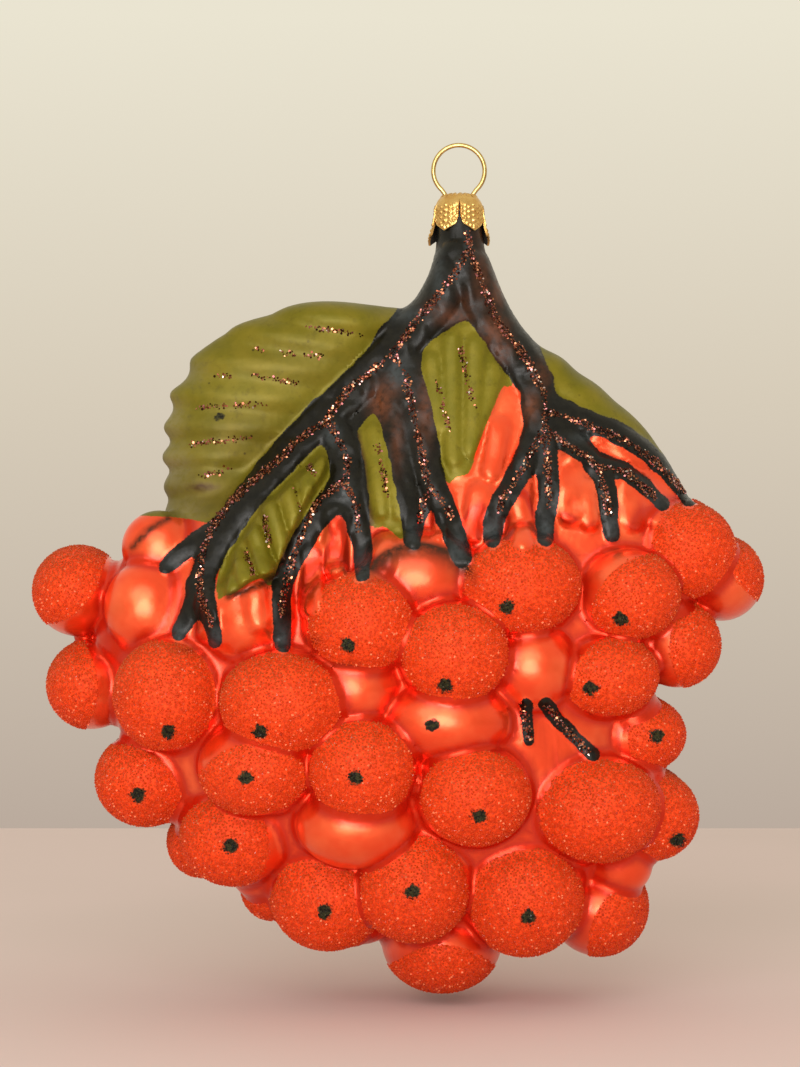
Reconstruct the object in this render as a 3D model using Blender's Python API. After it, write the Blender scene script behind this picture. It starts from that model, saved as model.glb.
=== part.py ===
"""A mould-blown glass hanging ornament in the shape of a bunch of rowan berries.

Three real pieces: the hollow glass body, the stamped crown cap over its neck, and the sprung wire hanger.

Frame: +Z up, +X to the right, -Y to the front. The origin is the highest point inside the wire ring, where a
hook or a thread bears. Sizes are in millimetres and are turned into metres as each mesh is made.
"""
import math
import random

import bmesh
import bpy
from mathutils import Matrix, Vector
from mathutils.bvhtree import BVHTree

MM = 0.001
SEED = 11
# EXACT leaves open edges where this many low pieces cross at shallow angles.
GLASS_SOLVER = "MANIFOLD"

# ---- glass: the body under the berries ---------------------------------------------------------------------
WALL = 1.1
# Each oval section from the mouth down: height, middle, half width, half depth, squareness, wall.
SECTIONS = (
    (-8.1, 0.0, 3.1, 3.1, 2.0, 0.6),
    (-13.0, 0.0, 3.4, 3.4, 2.0, 0.6),
    (-16.5, 0.3, 3.8, 3.6, 2.0, 0.7),
    (-20.0, 0.5, 4.6, 3.9, 2.0, 0.9),
    (-22.5, 0.5, 6.3, 4.3, 2.0, WALL),
    (-26.5, 0.0, 8.5, 5.0, 2.0, WALL),
    (-35.0, 0.0, 16.0, 7.0, 2.0, WALL),
    (-45.0, 0.5, 27.5, 10.0, 2.2, WALL),
    (-50.5, -1.0, 33.5, 12.0, 2.3, WALL),
    (-57.0, -4.5, 41.0, 14.5, 2.4, WALL),
    (-66.0, -9.0, 46.0, 17.5, 2.6, WALL),
    (-75.0, -11.0, 42.5, 19.5, 2.6, WALL),
    (-84.0, -12.5, 40.0, 20.0, 2.6, WALL),
    (-94.0, -9.5, 37.0, 19.5, 2.6, WALL),
    (-104.0, -6.0, 32.0, 17.5, 2.6, WALL),
    (-111.0, -3.0, 25.0, 14.0, 2.4, WALL),
    (-117.0, -2.0, 14.0, 8.5, 2.2, WALL),
    (-120.0, -2.0, 5.0, 3.0, 2.0, WALL),
)
SECTION_POINTS = 20
HOLLOW_POINTS = 12
MOUTH_CUT = 2.0

# ---- glass: berries ----------------------------------------------------------------------------------------
# How far a berry's middle lies under the skin of the body.
FRONT_SINK = 2.0
SUNK_SINK = 4.0
LEAST_FRONT_DEPTH = 6.0
# Places line up from a sight point this far in front, so proud pieces draw in towards it.
SIGHT_X = -9.0
SIGHT_Z = -58.0
SIGHT_DISTANCE = 400.0

# Each berry: middle x, middle z, half width, half height.
RIM_BERRIES = (
    (-57.0, -66.5, 6.8, 6.8),
    (-55.0, -80.5, 6.7, 6.7),
    (-46.5, -93.5, 7.2, 7.2),
    (-38.0, -104.5, 5.5, 5.5),
    (-28.5, -111.5, 4.5, 4.5),
    (-2.0, -119.0, 7.5, 7.5),
    (21.0, -113.5, 7.5, 7.5),
    (29.0, -100.0, 7.0, 7.0),
    (27.5, -88.0, 6.0, 6.0),
    (32.5, -74.5, 6.2, 6.2),
    (39.5, -65.0, 6.0, 6.0),
)
FRONT_BERRIES = (
    (-43.5, -82.0, 7.5, 7.5),
    (-26.5, -83.0, 8.5, 7.5),
    (-31.0, -92.5, 8.0, 7.0),
    (-14.5, -93.0, 7.5, 7.0),
    (-33.0, -104.0, 8.0, 7.5),
    (-15.0, -71.5, 7.0, 7.0),
    (-20.0, -112.0, 7.5, 8.0),
    (-6.5, -111.0, 8.0, 8.0),
    (10.0, -112.0, 8.0, 8.5),
    (2.0, -96.5, 8.0, 7.0),
    (20.5, -99.0, 8.5, 7.5),
    (22.0, -79.5, 7.5, 6.0),
    (9.5, -66.0, 8.0, 7.0),
    (25.0, -67.0, 7.5, 6.5),
    (34.5, -60.5, 7.0, 7.0),
    (-0.5, -75.5, 7.5, 7.0),
)
SUNK_BERRIES = (
    (-47.0, -69.0, 5.0, 5.5),
    (-45.0, -60.0, 4.5, 4.5),
    (-31.5, -70.5, 5.5, 5.5),
    (-16.0, -81.0, 5.5, 5.0),
    (-15.5, -101.0, 7.0, 5.5),
    (-2.0, -86.0, 7.5, 5.0),
    (11.0, -78.0, 5.0, 5.0),
    (-6.0, -64.5, 7.0, 5.5),
)
BACK_SHIFT = 1.5
# A smaller berry is left to the hollow of the core behind it.
LEAST_HOLLOW = 4.6
FACET_ALLOWANCE = 1.03
SUNK_FACETS = (8, 5)
HOLLOW_FACETS = (6, 4)
SMALL_BERRY = 6.0
# Share of the triangles that stays when the seams are thinned out.
SKIN_KEPT = 0.72
HOLLOW_KEPT = 0.8

# ---- glass: leaves -----------------------------------------------------------------------------------------
LEFT_LEAF = (
    (-8, -24.5), (-18, -24), (-25.5, -24.5), (-32, -26.5), (-38, -30), (-41, -35), (-43, -40), (-43, -46),
    (-43, -52), (-42.5, -56), (-35, -57), (-29, -50), (-22, -43), (-15, -36), (-9, -30),
)
RIGHT_LEAF = (
    (9, -29.5), (14, -32), (20, -35.5), (23, -38), (26, -40.5), (28.5, -43), (30, -46), (31, -50), (24, -48),
    (16, -43), (10, -36),
)
LEAF_HALF_DEPTH = 5.0
# The glass is this many times thicker along the rim of a leaf.
EDGE_THICKER = 2.2
# Each rib: root x, root z, tip x, tip z.
LEFT_RIBS = (
    (-9, -27, -27, -26.5), (-12, -30.5, -33.5, -29), (-15, -34, -39.5, -33), (-19, -38, -42.5, -37.5),
    (-23, -42, -43, -42), (-27, -46, -43.5, -46.5), (-31, -50, -43.5, -50.5), (-35, -54, -43.5, -54.5),
)
RIGHT_RIBS = ((10, -32.5, 17, -36), (10, -34.5, 22.5, -39.5), (12, -37, 27, -43.5), (14, -40, 30, -48))
RIB_HALF_WIDTH = 2.8
RIB_HALF_DEPTH = 5.8
RIB_FACETS = (8, 5)
CENTRE_RIBS = ((-3, -29, -3, -48.5), (1, -26.5, 0, -49.5), (4, -29, 3, -46))
NARROW_RIBS = ((-13.5, -41, -12, -56), (-12, -42, -9, -58))
FOLDED_RIBS = (
    (-22, -44.5, -19.5, -50), (-26, -47.5, -22.5, -54.5), (-29.5, -51.5, -26, -59), (-32.5, -56.5, -28.5, -62.5),
    (-34.5, -61.5, -31, -66.5),
)
SURFACE_RIB_HALF_WIDTH = 2.6
SURFACE_RIB_PROUD = 1.2

# ---- glass: twigs ------------------------------------------------------------------------------------------
# Each twig: radius at its start, radius at its tip, and its course as x, z.
TWIGS = (
    (2.9, 1.8, ((-0.5, -17), (-3.5, -23), (-9, -29.5), (-15, -35.5), (-22.5, -42.5), (-29.5, -50), (-34.5, -56.5),
                (-37.5, -62), (-39, -66))),
    (1.7, 1.0, ((-37, -58), (-40.5, -60), (-44, -63))),
    (1.6, 1.0, ((-39, -66), (-40.5, -70), (-42, -73))),
    (1.6, 1.0, ((-38.5, -67), (-37.5, -70), (-36.5, -74))),
    (2.2, 1.9, ((-20, -40), (-17.5, -44.5), (-17, -48.5), (-17.5, -51))),
    (1.8, 1.2, ((-18, -51.5), (-21.5, -56), (-24.5, -61), (-26.5, -66), (-26.5, -71), (-26.5, -74.5))),
    (1.7, 1.1, ((-17, -51), (-15.5, -56), (-14.5, -59.5), (-14.5, -64))),
    (2.7, 1.4, ((-9, -31), (-8, -35.5), (-6, -41.5), (-4.5, -48.5), (-2.5, -53.5), (-1, -57.5), (0.5, -61.5))),
    (1.9, 1.2, ((-10.5, -34), (-9.5, -42.5), (-8, -50.5), (-7, -59))),
    (2.9, 2.4, ((2, -18.5), (5, -25.5), (9, -31), (11.5, -35.5), (12.5, -41))),
    (2.1, 1.3, ((12.5, -41.5), (10, -47), (7.5, -51.5), (5.5, -55), (5, -58.5))),
    (1.8, 1.3, ((12.5, -42.5), (13, -47), (13.5, -51.5), (13, -55), (13, -58.5))),
    (1.8, 1.1, ((13.5, -41.5), (17.5, -44.5), (20.5, -47.5), (22, -50.5), (22.5, -54.5), (23, -58))),
    (1.4, 1.0, ((20.5, -47.5), (24.5, -48.5), (27.5, -50.5), (30.5, -53.5))),
    (1.8, 1.1, ((13, -38.5), (17.5, -40.5), (23, -42.5), (28, -45.5), (31.5, -49), (34.5, -52.5))),
    (0.9, 0.8, ((10, -83.5), (10.5, -89))),
    (0.9, 1.0, ((13, -83.5), (15.5, -86.5), (20, -91))),
)
TWIG_SINK = 0.55
# Thinner twigs than this are moulded on the front only.
BACK_TWIG_RADIUS = 2.0
LIMB_RADIUS = 2.5
LIMB_SIDES = 6
TWIG_SIDES = 5
REACH = 80.0

# ---- cap ---------------------------------------------------------------------------------------------------
CAP_SHEET = 0.3
CAP_TOP_Z = -7.1
# Radius and height of the cap's turned top, from the middle to the shoulder.
CAP_DOME = ((2.0, -7.15), (3.1, -7.4), (3.7, -8.0))
PETAL_ROWS = 3
# Tip height and flare of each petal, counted round from the front; the first notch faces the front.
PETALS = ((-12.9, 0.35), (-14.8, 1.1), (-14.4, 1.0), (-14.8, 1.1), (-12.9, 0.35))
PETAL_STEPS = (-1.0, -0.93, -0.7, -0.35, 0.0, 0.35, 0.7, 0.93)
PETAL_TAPER = 2.3
NOTCH_Z = -9.0
FLARE_FROM_Z = -10.3
FLARE_LENGTH = 4.5
WIRE_HOLE_RADIUS = 0.75

# ---- hanger ------------------------------------------------------------------------------------------------
WIRE_RADIUS = 0.35
RING_RADIUS = 3.85
RING_OPEN_ANGLE = 42.0
RING_STEPS = 26
WIRE_HOLE_X = 1.95
DRILL_LENGTH = 4.0
LEG = ((WIRE_HOLE_X, -7.25), (1.8, -8.4), (1.75, -14.0), (1.85, -18.0), (2.9, -22.5), (4.2, -26.5))

# ---- colours: linear red, green, blue; roughness; metallic -------------------------------------------------
LOOKS = {
    "red_lacquer": ((0.78, 0.06, 0.02), 0.35, 0.0),
    "leaf_lacquer": ((0.22, 0.2, 0.04), 0.35, 0.0),
    "twig_lacquer": ((0.03, 0.03, 0.025), 0.4, 0.0),
    "gold_sheet": ((0.72, 0.45, 0.14), 0.3, 1.0),
    "gold_wire": ((0.62, 0.4, 0.15), 0.25, 1.0),
}


def clear_scene():
    for old in list(bpy.data.objects):
        bpy.data.objects.remove(old, do_unlink=True)


def make_material(name):
    colour, roughness, metallic = LOOKS[name]
    material = bpy.data.materials.new(name)
    material.use_nodes = True
    material.diffuse_color = (*colour, 1.0)
    shader = material.node_tree.nodes["Principled BSDF"]
    shader.inputs["Base Color"].default_value = (*colour, 1.0)
    shader.inputs["Roughness"].default_value = roughness
    shader.inputs["Metallic"].default_value = metallic
    return material


def make_object(name, shape, material):
    """Turn a bmesh in millimetres into an object in metres."""
    bmesh.ops.recalc_face_normals(shape, faces=shape.faces)
    bmesh.ops.scale(shape, vec=(MM, MM, MM), verts=shape.verts)
    mesh = bpy.data.meshes.new(name)
    shape.to_mesh(mesh)
    shape.free()
    mesh.materials.append(material)
    made = bpy.data.objects.new(name, mesh)
    bpy.context.scene.collection.objects.link(made)
    return made


def apply_modifiers(target):
    bpy.context.view_layer.update()
    graph = bpy.context.evaluated_depsgraph_get()
    mesh = bpy.data.meshes.new_from_object(target.evaluated_get(graph))
    target.modifiers.clear()
    target.data = mesh


def thin_out(target, share):
    """Collapse the slivers that a union leaves along its seams, and drop the flaps that hang loose from them."""
    thinning = target.modifiers.new("Thin", "DECIMATE")
    thinning.decimate_type = "COLLAPSE"
    thinning.ratio = share
    thinning.use_collapse_triangulate = True
    apply_modifiers(target)
    shape = bmesh.new()
    shape.from_mesh(target.data)
    flaps = [face for face in shape.faces if any(edge.is_boundary for edge in face.edges)]
    bmesh.ops.delete(shape, geom=flaps, context="FACES")
    shape.to_mesh(target.data)
    shape.free()


def fuse(pieces):
    """Join closed pieces with one Boolean union on a collection, and give back the first piece."""
    joined, *others = pieces
    gathered = bpy.data.collections.new("union_pieces")
    bpy.context.scene.collection.children.link(gathered)
    for piece in others:
        gathered.objects.link(piece)
    union = joined.modifiers.new("Union", "BOOLEAN")
    union.operation = "UNION"
    union.solver = GLASS_SOLVER
    union.operand_type = "COLLECTION"
    union.collection = gathered
    union.material_mode = "TRANSFER"
    apply_modifiers(joined)
    for piece in others:
        bpy.data.objects.remove(piece, do_unlink=True)
    bpy.data.collections.remove(gathered)
    keep_main_shell(joined)
    return joined


def cut(target, cutter, solver="EXACT"):
    """Take one closed piece out of another, and remove the cutter."""
    cutter.hide_render = True
    cutter.display_type = "WIRE"
    difference = target.modifiers.new("Cut", "BOOLEAN")
    difference.operation = "DIFFERENCE"
    difference.solver = solver
    difference.object = cutter
    difference.material_mode = "TRANSFER"
    apply_modifiers(target)
    bpy.data.objects.remove(cutter, do_unlink=True)


def shell_of(start):
    """Every face that is joined to the first one."""
    found = {start}
    waiting = [start]
    while waiting:
        face = waiting.pop()
        for edge in face.edges:
            for neighbour in edge.link_faces:
                if neighbour not in found:
                    found.add(neighbour)
                    waiting.append(neighbour)
    return found


def shell_volume(faces):
    total = 0.0
    for face in faces:
        first, *rest = [vert.co for vert in face.verts]
        for second, third in zip(rest, rest[1:]):
            total += first.dot(second.cross(third)) / 6.0
    return total


def keep_main_shell(target):
    """Fill hollows that joining has sealed, and drop loose scraps."""
    shape = bmesh.new()
    shape.from_mesh(target.data)
    left = set(shape.faces)
    shells = []
    while left:
        shell = shell_of(next(iter(left)))
        left -= shell
        shells.append(shell)
    main = max(shells, key=shell_volume)
    scraps = [face for face in shape.faces if face not in main]
    bmesh.ops.delete(shape, geom=scraps, context="FACES")
    loose = [vert for vert in shape.verts if not vert.link_faces]
    bmesh.ops.delete(shape, geom=loose, context="VERTS")
    shape.to_mesh(target.data)
    shape.free()


def shade_smooth(target, sharp_angle):
    target.data.shade_smooth()
    target.data.set_sharp_from_angle(angle=math.radians(sharp_angle))


def ball(centre, half_sizes, facets, turn=0.0):
    """A ball stretched to three half sizes, its own X axis turned in the XZ plane."""
    place = Matrix.Translation(centre) @ Matrix.Rotation(turn, 4, "Y") @ Matrix.Diagonal((*half_sizes, 1.0))
    upright = Matrix.Rotation(math.pi / 2, 4, "X")
    shape = bmesh.new()
    bmesh.ops.create_uvsphere(shape, u_segments=facets[0], v_segments=facets[1], radius=1.0, matrix=place @ upright)
    return shape


def even_ball(centre, half_sizes):
    """A stretched ball with facets of even size."""
    shape = bmesh.new()
    place = Matrix.Translation(centre) @ Matrix.Diagonal((*half_sizes, 1.0))
    bmesh.ops.create_icosphere(shape, subdivisions=2, radius=1.0, matrix=place)
    return shape


def skin_rings(rings):
    """A closed skin through rings of equal length, with a fan over each open end."""
    shape = bmesh.new()
    loops = [[shape.verts.new(place) for place in ring] for ring in rings]
    count = len(loops[0])
    for lower, upper in zip(loops, loops[1:]):
        for i in range(count):
            j = (i + 1) % count
            shape.faces.new((lower[i], lower[j], upper[j], upper[i]))
    for loop in (loops[0], loops[-1]):
        middle = shape.verts.new(sum((vert.co for vert in loop), Vector()) / count)
        for i in range(count):
            shape.faces.new((loop[i], loop[(i + 1) % count], middle))
    return shape


def trunk(hollow):
    """The body from the neck's mouth down to the bottom as one loft of ovals, or the hollow inside it."""
    rings = []
    points = HOLLOW_POINTS if hollow else SECTION_POINTS
    for index, (z, middle, half_width, half_depth, squareness, wall) in enumerate(SECTIONS):
        height = z
        inset = 0.0
        if hollow:
            inset = wall
            height += MOUTH_CUT if index == 0 else 0.0
            height += wall if index == len(SECTIONS) - 1 else 0.0
        ring = []
        for i in range(points):
            angle = 2 * math.pi * i / points
            across = math.copysign(abs(math.cos(angle)) ** (2 / squareness), math.cos(angle))
            along = math.copysign(abs(math.sin(angle)) ** (2 / squareness), math.sin(angle))
            ring.append(Vector((middle + (half_width - inset) * across, (half_depth - inset) * along, height)))
        rings.append(ring)
    return skin_rings(rings)


def skin_depth(x, z):
    """Half depth of the trunk at a place in the XZ plane, or 0 outside it."""
    for above, below in zip(SECTIONS, SECTIONS[1:]):
        if below[0] <= z <= above[0]:
            share = (above[0] - z) / (above[0] - below[0])
            middle, half_width, half_depth, squareness = (
                upper + (lower - upper) * share for upper, lower in zip(above[1:5], below[1:5]))
            across = min(1.0, abs(x - middle) / half_width)
            return half_depth * (1 - across ** squareness) ** (1 / squareness)
    return 0.0


def drawn_in(x, z, depth):
    """Where a place of the layout comes to lie when it stands this far in front of the middle plane."""
    ratio = 1 - depth / SIGHT_DISTANCE
    return SIGHT_X + (x - SIGHT_X) * ratio, SIGHT_Z + (z - SIGHT_Z) * ratio


def placed_berries():
    """Middle and half sizes of every berry, front and back."""
    chance = random.Random(SEED)
    berries = []
    for x, z, half_width, half_height in RIM_BERRIES:
        half_depth = (half_width + half_height) / 2
        berries.append((Vector((x, 0, z)), (half_width, half_depth, half_height)))
    for layer, sink in ((FRONT_BERRIES, FRONT_SINK), (SUNK_BERRIES, SUNK_SINK)):
        for x, z, half_width, half_height in layer:
            radius = (half_width + half_height) / 2
            depth = max(LEAST_FRONT_DEPTH, skin_depth(x, z) - sink)
            seat_x, seat_z = drawn_in(x, z, depth)
            half_sizes = (half_width, radius, half_height)
            berries.append((Vector((seat_x, -depth, seat_z)), half_sizes))
            back_x = seat_x + chance.uniform(-BACK_SHIFT, BACK_SHIFT)
            back_z = seat_z + chance.uniform(-BACK_SHIFT, BACK_SHIFT)
            berries.append((Vector((back_x, depth, back_z)), half_sizes))
    return berries


def pillow(outline, half_depth, inset):
    """A leaf blade: an outline that swells to the front and to the back."""
    middle_x = sum(x for x, z in outline) / len(outline)
    middle_z = sum(z for x, z in outline) / len(outline)
    rings = []
    for step in range(-2, 3):
        angle = math.radians(30 * step)
        swell = math.cos(angle)
        y = math.sin(angle) * (half_depth - inset) / math.sin(math.radians(60))
        ring = []
        for x, z in outline:
            away = Vector((x - middle_x, 0, z - middle_z))
            away.length -= EDGE_THICKER * inset
            ring.append(Vector((middle_x, y, middle_z)) + away * swell)
        rings.append(ring)
    return skin_rings(rings)


def rib(root_x, root_z, tip_x, tip_z, half_width, half_depth, y):
    """One swelling of a leaf between two veins."""
    along = Vector((tip_x - root_x, 0, tip_z - root_z))
    centre = Vector(((tip_x + root_x) / 2, y, (tip_z + root_z) / 2))
    turn = math.atan2(-along.z, along.x)
    return ball(centre, (along.length / 2, half_depth, half_width), RIB_FACETS, turn)


def surface_at(tree, x, z, side):
    """Depth of the outermost skin at a place, seen from the front (side -1) or the back (side 1)."""
    start = Vector((x, side * REACH, z)) * MM
    hit = tree.ray_cast(start, Vector((0, -side, 0)))[0]
    return hit.y / MM if hit else 0.0


def tube(course, radii, sides):
    """A tapering tube with closed ends along a course that lies roughly in an XZ plane."""
    rings = []
    for i, place in enumerate(course):
        ahead = course[min(i + 1, len(course) - 1)]
        behind = course[max(i - 1, 0)]
        along = (ahead - behind).normalized()
        outward = (Vector((0, 1, 0)) - along * along.y).normalized()
        across = along.cross(outward)
        ring = []
        for k in range(sides):
            angle = 2 * math.pi * (k + 0.5) / sides
            ring.append(place + radii[i] * (across * math.cos(angle) + outward * math.sin(angle)))
        rings.append(ring)
    return skin_rings(rings)


def twig(tree, start_radius, tip_radius, course, side):
    """A twig that lies half sunk in the skin on one side of the glass."""
    places = []
    radii = []
    for i, (x, z) in enumerate(course):
        share = i / (len(course) - 1)
        radius = start_radius + (tip_radius - start_radius) * share
        depth = abs(surface_at(tree, x, z, side))
        seat_x, seat_z = drawn_in(x, z, depth)
        y = surface_at(tree, seat_x, seat_z, side) - side * TWIG_SINK * radius
        places.append(Vector((seat_x, y, seat_z)))
        radii.append(radius)
    last = places[-1]
    lead = (last - places[-2]).normalized()
    places.append(last + lead * tip_radius * 0.7)
    radii.append(tip_radius * 0.6)
    sides = LIMB_SIDES if start_radius > LIMB_RADIUS else TWIG_SIDES
    return tube(places, radii, sides)


def surface_rib(tree, root_x, root_z, tip_x, tip_z, side):
    """A rib of a leaf that lies on the shoulder's skin."""
    middle_x = (root_x + tip_x) / 2
    middle_z = (root_z + tip_z) / 2
    depth = abs(surface_at(tree, middle_x, middle_z, side))
    seat = [*drawn_in(root_x, root_z, depth), *drawn_in(tip_x, tip_z, depth)]
    root_y = surface_at(tree, seat[0], seat[1], side)
    tip_y = surface_at(tree, seat[2], seat[3], side)
    proud = side * SURFACE_RIB_PROUD
    root = Vector((seat[0], root_y + proud, seat[1]))
    tip = Vector((seat[2], tip_y + proud, seat[3]))
    sink = Vector((0, side * SURFACE_RIB_HALF_WIDTH, 0))
    course = [root - sink, root.lerp(tip, 0.3) - sink * 0.9, root.lerp(tip, 0.7) - sink * 0.9, tip - sink]
    radii = [SURFACE_RIB_HALF_WIDTH * size for size in (0.55, 1.0, 1.0, 0.55)]
    return tube(course, radii, TWIG_SIDES)


def make_glass_body(red, green, dark):
    """The blown glass: the outer form less the hollow inside it."""
    pieces = [make_object("glass_body", trunk(hollow=False), red)]
    for centre, half_sizes in placed_berries():
        allowed = [half * FACET_ALLOWANCE for half in half_sizes]
        if half_sizes[1] < SMALL_BERRY:
            pieces.append(make_object("sunk_berry", ball(centre, allowed, SUNK_FACETS), red))
        else:
            pieces.append(make_object("berry", even_ball(centre, allowed), red))
    for outline, ribs in ((LEFT_LEAF, LEFT_RIBS), (RIGHT_LEAF, RIGHT_RIBS)):
        pieces.append(make_object("leaf", pillow(outline, LEAF_HALF_DEPTH, 0.0), green))
        for ends in ribs:
            pieces.append(make_object("rib", rib(*ends, RIB_HALF_WIDTH, RIB_HALF_DEPTH, 0.0), green))
    body = fuse(pieces)

    graph = bpy.context.evaluated_depsgraph_get()
    tree = BVHTree.FromObject(body, graph)
    dressed = [body]
    for ends in (*CENTRE_RIBS, *NARROW_RIBS, *FOLDED_RIBS):
        dressed.append(make_object("surface_rib", surface_rib(tree, *ends, -1), green))
    for start_radius, tip_radius, course in TWIGS:
        dressed.append(make_object("twig", twig(tree, start_radius, tip_radius, course, -1), dark))
        if start_radius > BACK_TWIG_RADIUS:
            dressed.append(make_object("back_twig", twig(tree, start_radius, tip_radius, course, 1), dark))
    body = fuse(dressed)
    thin_out(body, SKIN_KEPT)

    hollow = [make_object("hollow", trunk(hollow=True), red)]
    for centre, half_sizes in placed_berries():
        inner = [half - WALL for half in half_sizes]
        if min(inner) > LEAST_HOLLOW:
            hollow.append(make_object("hollow_berry", ball(centre, inner, HOLLOW_FACETS), red))
    for outline in (LEFT_LEAF, RIGHT_LEAF):
        hollow.append(make_object("hollow_leaf", pillow(outline, LEAF_HALF_DEPTH, WALL), red))
    inside = fuse(hollow)
    thin_out(inside, HOLLOW_KEPT)
    cut(body, inside, GLASS_SOLVER)
    keep_main_shell(body)
    shade_smooth(body, 50)
    return body


def petal_edge(share, tip_z):
    """Height of a petal's edge: share is 0 at its middle and 1 at a notch."""
    if abs(share) > 0.99:
        return NOTCH_Z
    return tip_z + PETAL_TAPER * share * share


def cap_ring(level, inset):
    """One ring of the cap's skin, at a dome level or at a row of the petals."""
    ring = []
    half_turn = math.pi / len(PETALS)
    for index, (tip_z, flare) in enumerate(PETALS):
        for share in PETAL_STEPS:
            angle = (2 * index + 1 + share) * half_turn
            if level < len(CAP_DOME):
                radius, z = CAP_DOME[level]
            else:
                row = (level - len(CAP_DOME) + 1) / PETAL_ROWS
                shoulder_radius, shoulder_z = CAP_DOME[-1]
                z = shoulder_z + (petal_edge(share, tip_z) - shoulder_z) * row
                radius = shoulder_radius + flare * max(0.0, FLARE_FROM_Z - z) / FLARE_LENGTH
            on_dome = level < len(CAP_DOME) - 1
            lowered = inset if level < len(CAP_DOME) else 0.0
            narrowed = 0.0 if on_dome else inset
            reach = radius - narrowed
            ring.append(Vector((reach * math.sin(angle), -reach * math.cos(angle), z - lowered)))
    return ring


def make_cap(gold):
    """The stamped crown: a thin domed sheet with five leaf petals and two wire holes."""
    levels = range(len(CAP_DOME) + PETAL_ROWS)
    rings = [cap_ring(level, 0.0) for level in levels]
    rings += [cap_ring(level, CAP_SHEET) for level in reversed(levels)]
    cap = make_object("cap", skin_rings(rings), gold)
    for side in (-1, 1):
        drill = bmesh.new()
        place = Matrix.Translation((side * WIRE_HOLE_X, 0, CAP_TOP_Z))
        bmesh.ops.create_cone(drill, cap_ends=True, segments=16, radius1=WIRE_HOLE_RADIUS,
                              radius2=WIRE_HOLE_RADIUS, depth=DRILL_LENGTH, matrix=place)
        cut(cap, make_object("drill", drill, gold))
    shade_smooth(cap, 40)
    return cap


def hanger_course():
    """The wire's middle line: up one leg, round the ring and down the other leg."""
    centre_z = WIRE_RADIUS - RING_RADIUS
    left = [Vector((-x, 0, z)) for x, z in reversed(LEG)]
    right = [Vector((x, 0, z)) for x, z in LEG]
    arc = []
    for i in range(RING_STEPS + 1):
        angle = math.radians(RING_OPEN_ANGLE + (360 - 2 * RING_OPEN_ANGLE) * i / RING_STEPS)
        arc.append(Vector((-RING_RADIUS * math.sin(angle), 0, centre_z - RING_RADIUS * math.cos(angle))))
    return left + arc + right


def make_hanger(gold):
    """One wire: the ring, and two legs that spring apart inside the neck."""
    course = hanger_course()
    curve = bpy.data.curves.new("hanger", "CURVE")
    curve.dimensions = "3D"
    curve.bevel_depth = WIRE_RADIUS * MM
    curve.bevel_resolution = 3
    curve.use_fill_caps = True
    spline = curve.splines.new("POLY")
    spline.points.add(len(course) - 1)
    for point, place in zip(spline.points, course):
        point.co = (*(place * MM), 1.0)
    curve.materials.append(gold)
    hanger = bpy.data.objects.new("hanger", curve)
    bpy.context.scene.collection.objects.link(hanger)
    return hanger


clear_scene()
make_glass_body(make_material("red_lacquer"), make_material("leaf_lacquer"), make_material("twig_lacquer"))
make_cap(make_material("gold_sheet"))
make_hanger(make_material("gold_wire"))
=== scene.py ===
import math
import random
from collections import namedtuple

import bmesh
import bpy
import numpy as np
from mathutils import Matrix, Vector


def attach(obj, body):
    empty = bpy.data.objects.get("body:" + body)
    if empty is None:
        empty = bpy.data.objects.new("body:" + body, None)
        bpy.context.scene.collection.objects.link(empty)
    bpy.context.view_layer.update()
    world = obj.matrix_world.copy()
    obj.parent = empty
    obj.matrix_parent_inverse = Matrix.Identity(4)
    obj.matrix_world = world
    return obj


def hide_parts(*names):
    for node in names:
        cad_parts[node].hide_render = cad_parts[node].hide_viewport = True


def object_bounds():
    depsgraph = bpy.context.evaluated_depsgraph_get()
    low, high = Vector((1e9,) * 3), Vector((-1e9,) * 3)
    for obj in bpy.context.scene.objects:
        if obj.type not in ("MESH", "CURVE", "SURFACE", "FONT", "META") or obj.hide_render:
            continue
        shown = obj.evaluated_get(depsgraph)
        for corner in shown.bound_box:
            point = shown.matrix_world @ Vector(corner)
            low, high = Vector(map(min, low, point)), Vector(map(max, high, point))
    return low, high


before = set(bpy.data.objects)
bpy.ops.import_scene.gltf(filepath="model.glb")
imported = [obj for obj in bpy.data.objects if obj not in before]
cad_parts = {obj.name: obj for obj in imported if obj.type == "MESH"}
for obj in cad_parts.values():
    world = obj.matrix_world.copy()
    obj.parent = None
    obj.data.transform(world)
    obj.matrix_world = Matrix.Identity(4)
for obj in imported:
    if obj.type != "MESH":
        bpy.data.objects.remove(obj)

# The looks of a blown glass hanging ornament: a bunch of rowan berries with two leaves and a forked stem.
#
# The glass is one skin, shaped as a field of distances in millimetres and then painted by attributes.
# Sugar grains are glued on its berries and copper glitter along its twigs. A gold cap and a wire ring
# close its neck. Places on the front are written as x, z of a flat layout, which a sight point in front
# carries to their depth.

MM = 0.001
SEED = 11
CAD_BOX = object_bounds()

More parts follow.
